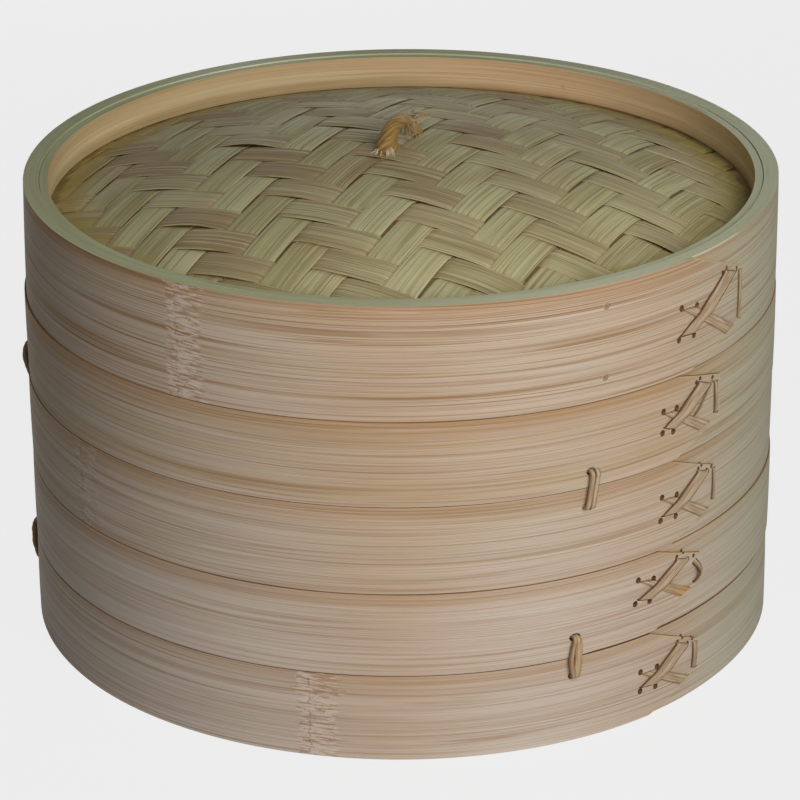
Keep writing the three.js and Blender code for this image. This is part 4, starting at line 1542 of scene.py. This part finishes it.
def handle_path():
    """The arch in its own upright plane: along the loop and up."""
    low, high = measured("lid_handle_loop")
    tail = low[2] + TAIL_RISE
    foot = high[2] - HANDLE_HEIGHT
    crown = HANDLE_HEIGHT - HANDLE_TOP_RADIUS - 0.05
    lean, bend = HANDLE_LEAN, HANDLE_BEND
    side = HANDLE_SPAN / 2
    inner = side - bend - TAIL_LENGTH
    arch_run = bezier([(-side + lean, 0), (-side + lean + 1, 1.1), (side - 14, 1.25), (side - 1, 0)], 60)
    arch_run[:, 1] = foot + crown * arch_run[:, 1] / arch_run[:, 1].max()
    runs = [
        bezier([(-inner, tail), (-side + bend, tail)], 8),
        bezier([(-side + bend, tail), (-side, tail), (-side, tail + bend)], 8),
        bezier([(-side, tail + bend), (-side + lean, foot)], 10),
        arch_run,
        bezier([(side - 1, foot), (side, tail + bend)], 10),
        bezier([(side, tail + bend), (side, tail), (side - bend, tail)], 8),
        bezier([(side - bend, tail), (inner, tail)], 8),
    ]
    points = np.concatenate([runs[0], *[run[1:] for run in runs[1:]]])
    spots = np.arange(0, run_length(points)[-1], HANDLE_STEP)
    return at_lengths(points, spots), spots


ARCH, ARCH_SPOTS = handle_path()
HEADING = np.array([*LID_ALONG, 0.0])
BESIDE = np.array([*LID_ACROSS, 0.0])
ORIGIN = np.array([*HANDLE_CENTRE, 0.0])
print("the carrying loop's middle line is", round(ARCH_SPOTS[-1], 1), "mm long")

# %% [markdown]
# Nine plies wind round a core along the arch, each lumpy in its own way. Towards the back leg the fibres
# yellow, and the hank thins: its radius is given at shares of its length.

# %% The loop's plies
HANDLE_PLACES = (0.0, 0.18, 0.29, 0.38, 0.5, 0.62, 0.75, 1.0)
HANDLE_RADII = (1.9, 2.8, 3.8, 2.9, 2.55, 1.9, 0.9, 0.9)
PLIES = 9
PLY_SEED = 200
PLY_TWIST = 19.0
STRAND_GUIDE = np.array([0.31, 0.17, 0.93])


def round_strand(shell, centre, radius, spots, tone, sides=9, gold=0.0):
    """Sweeps a round section along a path in space. The guide is a direction that the path never takes."""
    tangent = unit(np.gradient(centre, axis=0))
    first = unit(np.cross(tangent, STRAND_GUIDE))[:, None, :]
    second = np.cross(tangent, first[:, 0])[:, None, :]
    turn = full_turn(sides)
    radius = np.broadcast_to(radius, len(centre))
    section = first * np.cos(turn)[None, :, None] + second * np.sin(turn)[None, :, None]
    grid = centre[:, None, :] + radius[:, None, None] * section
    shell.sweep(grid, spots[:, None], radius[:, None] * turn, tone=tone, side=1.0, mark=0.0, gold=gold)


def swing(wavelength, rng):
    """A sine along the arch, with a phase drawn by chance."""
    return np.sin(ARCH_SPOTS / wavelength + rng.uniform(0, 6))


def upright(flat):
    """Points of the arch's own plane as points in space: the first part along the loop, the second up."""
    return ORIGIN + HEADING * flat[:, :1] + UP * flat[:, 1:]


hank = np.interp(ARCH_SPOTS / ARCH_SPOTS[-1], HANDLE_PLACES, HANDLE_RADII)
outwards = turned_left(unit(np.gradient(ARCH, axis=0)))
yellowed = 0.15 * smooth((ARCH_SPOTS / ARCH_SPOTS[-1] - 0.36) / 0.16)[:, None]
rope = Shell()
for ply in range(PLIES):
    rng = np.random.default_rng(PLY_SEED + ply)
    wind = ARCH_SPOTS / PLY_TWIST * 2 * np.pi + 2 * np.pi * ply / PLIES + 0.25 * swing(5.3, rng)
    lumps = 1 + 0.06 * swing(1.7, rng) + 0.05 * swing(0.9, rng)
    away = hank * (0.6 + 0.05 * swing(3.1, rng))
    flat = ARCH + outwards * (away * np.cos(wind))[:, None]
    centre = upright(flat) + BESIDE * (away * np.sin(wind))[:, None]
    round_strand(rope, centre, hank * 0.35 * lumps, ARCH_SPOTS, 0.1 + 0.1 * ply, gold=yellowed)
round_strand(rope, upright(ARCH), hank * 0.55, ARCH_SPOTS, 0.4)

# %% [markdown]
# Broken fibres stand out all round: pale ones in a fringe at the foot of the front leg, some that hang under
# the arch, and longer ones that leave the back of the crown.

# %% The loop's broken fibres
FOOT_SPOT = ORIGIN + HEADING * (1.8 - HANDLE_SPAN / 2)
FOOT_HEIGHT = float(DOME_EDGE + cap(np.hypot(*FOOT_SPOT[:2])))
CROWN_HEIGHT = measured("lid_handle_loop")[1][2] - HANDLE_TOP_RADIUS
FIBRE_RADIUS = 0.27
FIBRE_SEED = 77


def fibre(root, lean, length, drop, gold):
    """Adds a thin broken fibre that leaves its root along lean and falls by drop."""
    t = np.linspace(0, 1, 9)
    path = root + lean * length * t[:, None] - UP * drop * t[:, None] ** 1.8
    round_strand(rope, path, FIBRE_RADIUS * (1.1 - 0.7 * t), t * length, gold * 0.5, sides=5, gold=gold)


def crown_fibres(rng, count, along, rise, spread, lean, fan, length, drop, gold):
    """Adds fibres near the crown. Spread and fan are a slope and a start, the other pairs ranges of chance."""
    for _ in range(count):
        sway = rng.uniform(-1, 1)
        root = ORIGIN + HEADING * rng.uniform(*along) + BESIDE * (sway * spread[0] + spread[1])
        root = root + UP * (CROWN_HEIGHT + rng.uniform(*rise))
        away = HEADING * rng.uniform(*lean) + BESIDE * (sway * fan[0] + fan[1])
        fibre(root, away, rng.uniform(*length), rng.uniform(*drop), rng.uniform(*gold))


rng = np.random.default_rng(FIBRE_SEED)
for _ in range(26):
    sway = rng.uniform(-1, 1)
    height = FOOT_HEIGHT + rng.uniform(0.8, 2.9)
    root = FOOT_SPOT + BESIDE * sway * 2.9 - HEADING * 2.0 * math.sqrt(1 - 0.8 * sway ** 2) + UP * height
    away = -HEADING * rng.uniform(0.2, 1.0) + BESIDE * (sway * 0.8 + rng.uniform(-0.3, 0.3))
    fibre(root, away, rng.uniform(1.2, 2.6), height - FOOT_HEIGHT - 0.1, 1.0)
crown_fibres(rng, 26, along=(0.0, 7.5), rise=(-3.2, -1.5), spread=(1.8, 0.8), lean=(-0.2, 0.6),
             fan=(0.5, 0.4), length=(0.8, 2.6), drop=(2.5, 5.0), gold=(0.0, 0.35))
crown_fibres(rng, 34, along=(2.0, 10.0), rise=(-1.6, 0.3), spread=(2.0, 0.6), lean=(0.6, 1.2),
             fan=(0.4, 0.3), length=(1.0, 5.0), drop=(0.5, 2.5), gold=(0.2, 0.7))
rope.piece("lid_handle_rope", "lid", HANDLE_CANE, ["lid_handle_loop"], sharp=60)

# %% [markdown]
# ## Slatted floors
#
# Under the lid, eleven slats lie across two bars in each tier. They are plain strips with eased edges, and
# their ends follow the round wall.

# %% Slatted floors
STICK_COLUMNS = (-1, -0.985, -0.93, -0.5, 0, 0.5, 0.93, 0.985, 1)
STICK_EDGES = (0.55, 0.2, 0, 0, 0, 0, 0, 0.2, 0.55)


def floor_stick(shell, offset, width, foot, top, turned, tone):
    """Adds a stick whose ends follow the round wall. It lies along X, or along Y when turned."""
    columns = np.array(STICK_COLUMNS) * width / 2
    eased = np.array(STICK_EDGES)
    place = offset + columns
    ends = np.sqrt(FLOOR_RADIUS ** 2 - place ** 2)
    share = np.linspace(-1, 1, 40)
    s = share[:, None] * ends[None, :]
    bend = 0.12 * np.sin(s / 31 + 9 * tone)
    crown = 0.15 * (1 - (columns / (width / 2)) ** 2)
    high = top - eased + crown - 0.25 + bend
    low = foot + eased + np.zeros_like(s)
    xs = np.concatenate([s, s[:, ::-1]], 1)
    ys = np.concatenate([place, place[::-1]])[None, :] + np.zeros_like(xs)
    zs = np.concatenate([high, low[:, ::-1]], 1)
    grid = np.stack([ys, xs, zs] if turned else [xs, ys, zs], -1)
    across = np.concatenate([columns, columns[::-1]])
    shell.sweep(grid, xs + 200 * tone, across[None, :], tone=tone)


for row, body in enumerate(TIERS):
    floor = Shell()
    nodes = [f"{body}_slat_{k}" for k in range(1, 12)]
    for k, node in enumerate(nodes):
        low, high = measured(node)
        tone = float(chance(k, row + 2))
        floor_stick(floor, (low[1] + high[1]) / 2, SLAT_WIDTH, low[2], high[2], False, tone)
    floor.piece(f"{body}_slats", body, SLAT_BAMBOO, nodes)
    bars = Shell()
    names = [f"{body}_cross_bar_left", f"{body}_cross_bar_right"]
    for k, node in enumerate(names):
        low, high = measured(node)
        tone = float(chance(k, row + 5))
        floor_stick(bars, (low[0] + high[0]) / 2, BAR_WIDTH, low[2], high[2], True, tone)
    bars.piece(f"{body}_cross_bars", body, SLAT_BAMBOO, names)

# %% [markdown]
# ## Studio
#
# The photograph is a product picture on a ground as pale as the background. The floor and the world show a
# flat pale grey to the camera, and the floor keeps a little of the steamer's own shadow.

# %% Backdrop and world
BACKGROUND = srgb(235, 235, 235)
SHADOW_KEPT = 0.06
GLOW = 1.055
WORLD_FILL = 0.05


def seen_directly(board):
    """1 for rays from the camera, and for what gloss or glass would show of the background."""
    kinds = ("Camera", "Glossy", "Transmission")
    camera, glossy, through = (board.node("LightPath", {}, {}, output=f"Is {kind} Ray") for kind in kinds)
    return camera.most(glossy).most(through)


def backdrop():
    """A pale floor: mostly an even glow to the camera, and a plain matt floor for the light."""
    r = Recipe("pale_floor", roughness=0.9, specular=0.0)
    r.shader.inputs["Base Color"].default_value = srgb(214, 214, 214)
    glow = r.node("Emission", {}, {"Color": BACKGROUND, "Strength": GLOW})
    matt = Wire(r, r.shader.outputs[0])
    mix = r.node("MixShader", {}, {0: seen_directly(r) * (1 - SHADOW_KEPT), 1: matt, 2: glow})
    r.plug(r.tree.nodes["Material Output"].inputs["Surface"], mix)
    return r.material


FLOOR_REACH = 6.0
FLOOR_BELOW = 0.0002
corners = [(x * FLOOR_REACH, y * FLOOR_REACH, 0) for x, y in ((-1, -1), (1, -1), (1, 1), (-1, 1))]
floor_mesh = bpy.data.meshes.new("studio_floor")
floor_mesh.from_pydata(corners, [], [(0, 1, 2, 3)])
studio_floor = bpy.data.objects.new("studio_floor", floor_mesh)
studio_floor.location.z = -FLOOR_BELOW
studio_floor.data.materials.append(backdrop())
bpy.context.scene.collection.objects.link(studio_floor)
studio_floor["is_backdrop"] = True


def studio_world(fill):
    """A pale background, with its own faint light on the object."""
    scene_world = bpy.data.worlds.new("studio")
    scene_world.use_nodes = True
    board = Board(scene_world.node_tree)
    board.tree.nodes.clear()
    shown = board.node("Background", {}, {"Color": BACKGROUND, "Strength": 1.0})
    light = board.node("Background", {}, {"Color": (0.76, 0.94, 1.0, 1.0), "Strength": fill})
    mix = board.node("MixShader", {}, {0: seen_directly(board), 1: light, 2: shown})
    board.node("OutputWorld", {}, {"Surface": mix}, output=None)
    return scene_world


bpy.context.scene.world = studio_world(WORLD_FILL)
print("made the floor and the world", bpy.context.scene.world.name)

# %% [markdown]
# One soft lamp at the front right, half a metre up, makes nearly all the light. A low lamp behind, no higher
# than the rim, keeps the back readable and hardly touches what the photograph shows.

# %% Lamps
LAMP_AIM = Vector((0, 0, 0.08))


def softbox(name, angle, elevation, distance, size, power, colour):
    """A soft rectangular lamp that faces the middle of the steamer. Its two angles are in degrees."""
    lamp = bpy.data.lights.new(name, "AREA")
    lamp.shape = "RECTANGLE"
    lamp.size, lamp.size_y = size
    lamp.energy = power
    lamp.color = colour
    thing = bpy.data.objects.new(name, lamp)
    lean = math.radians(elevation)
    offset = Vector(around(distance * math.cos(lean), angle, distance * math.sin(lean)))
    thing.location = LAMP_AIM + offset
    thing.rotation_mode = "QUATERNION"
    thing.rotation_quaternion = offset.to_track_quat("Z", "Y")
    bpy.context.scene.collection.objects.link(thing)
    print("hung the lamp", name, "at", [round(part, 2) for part in thing.location], "m")


softbox("key", angle=20.5, elevation=28, distance=0.95, size=(0.55, 0.55), power=5.98,
        colour=(1.0, 0.985, 0.96))
softbox("back", angle=190, elevation=0, distance=1.0, size=(0.9, 0.14), power=3.0,
        colour=(0.97, 0.99, 1.0))

# %% [markdown]
# ## Camera
#
# The view was fitted to the circles of the photograph: the camera looks down a little from about five outer
# diameters away, with a long lens. A small roll and shift put the picture's middle where the photographer
# had it.

# %% Camera
PICTURE = 800
LENS_PIXELS = 3622.77
SENSOR = 36.0
AIM = Vector((0.0, 0.0, 0.072))
DISTANCE = 1.25684
ELEVATION = math.radians(23.481)
ROLL = math.radians(-0.384)
MIDDLE = (402.687, 398.512)

camera_data = bpy.data.cameras.new("camera")
camera_data.sensor_width = SENSOR
camera_data.lens = LENS_PIXELS * SENSOR / PICTURE
camera_data.shift_x = (PICTURE / 2 - MIDDLE[0]) / PICTURE
camera_data.shift_y = (MIDDLE[1] - PICTURE / 2) / PICTURE
camera_data.clip_start = 0.05
camera_data.clip_end = 30.0
camera = bpy.data.objects.new("camera", camera_data)
back = Vector((0.0, -math.cos(ELEVATION), math.sin(ELEVATION)))
up = Vector((0.0, math.sin(ELEVATION), math.cos(ELEVATION)))
right = Vector((1.0, 0.0, 0.0))
basis = Matrix((right, up, back)).transposed() @ Matrix.Rotation(ROLL, 3, "Z")
camera.matrix_world = Matrix.Translation(AIM + back * DISTANCE) @ basis.to_4x4()
bpy.context.scene.collection.objects.link(camera)
bpy.context.scene.camera = camera
bpy.context.scene.view_settings.view_transform = "Standard"
print("set up a lens of", round(camera_data.lens, 1), "mm")

# %% [markdown]
# ## Finish
#
# The box of the dressed steamer is printed at the end, in millimetres.

# %% Finish
low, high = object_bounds()
print("the dressed steamer spans", [round((b - a) / MM, 1) for a, b in zip(low, high)], "mm")
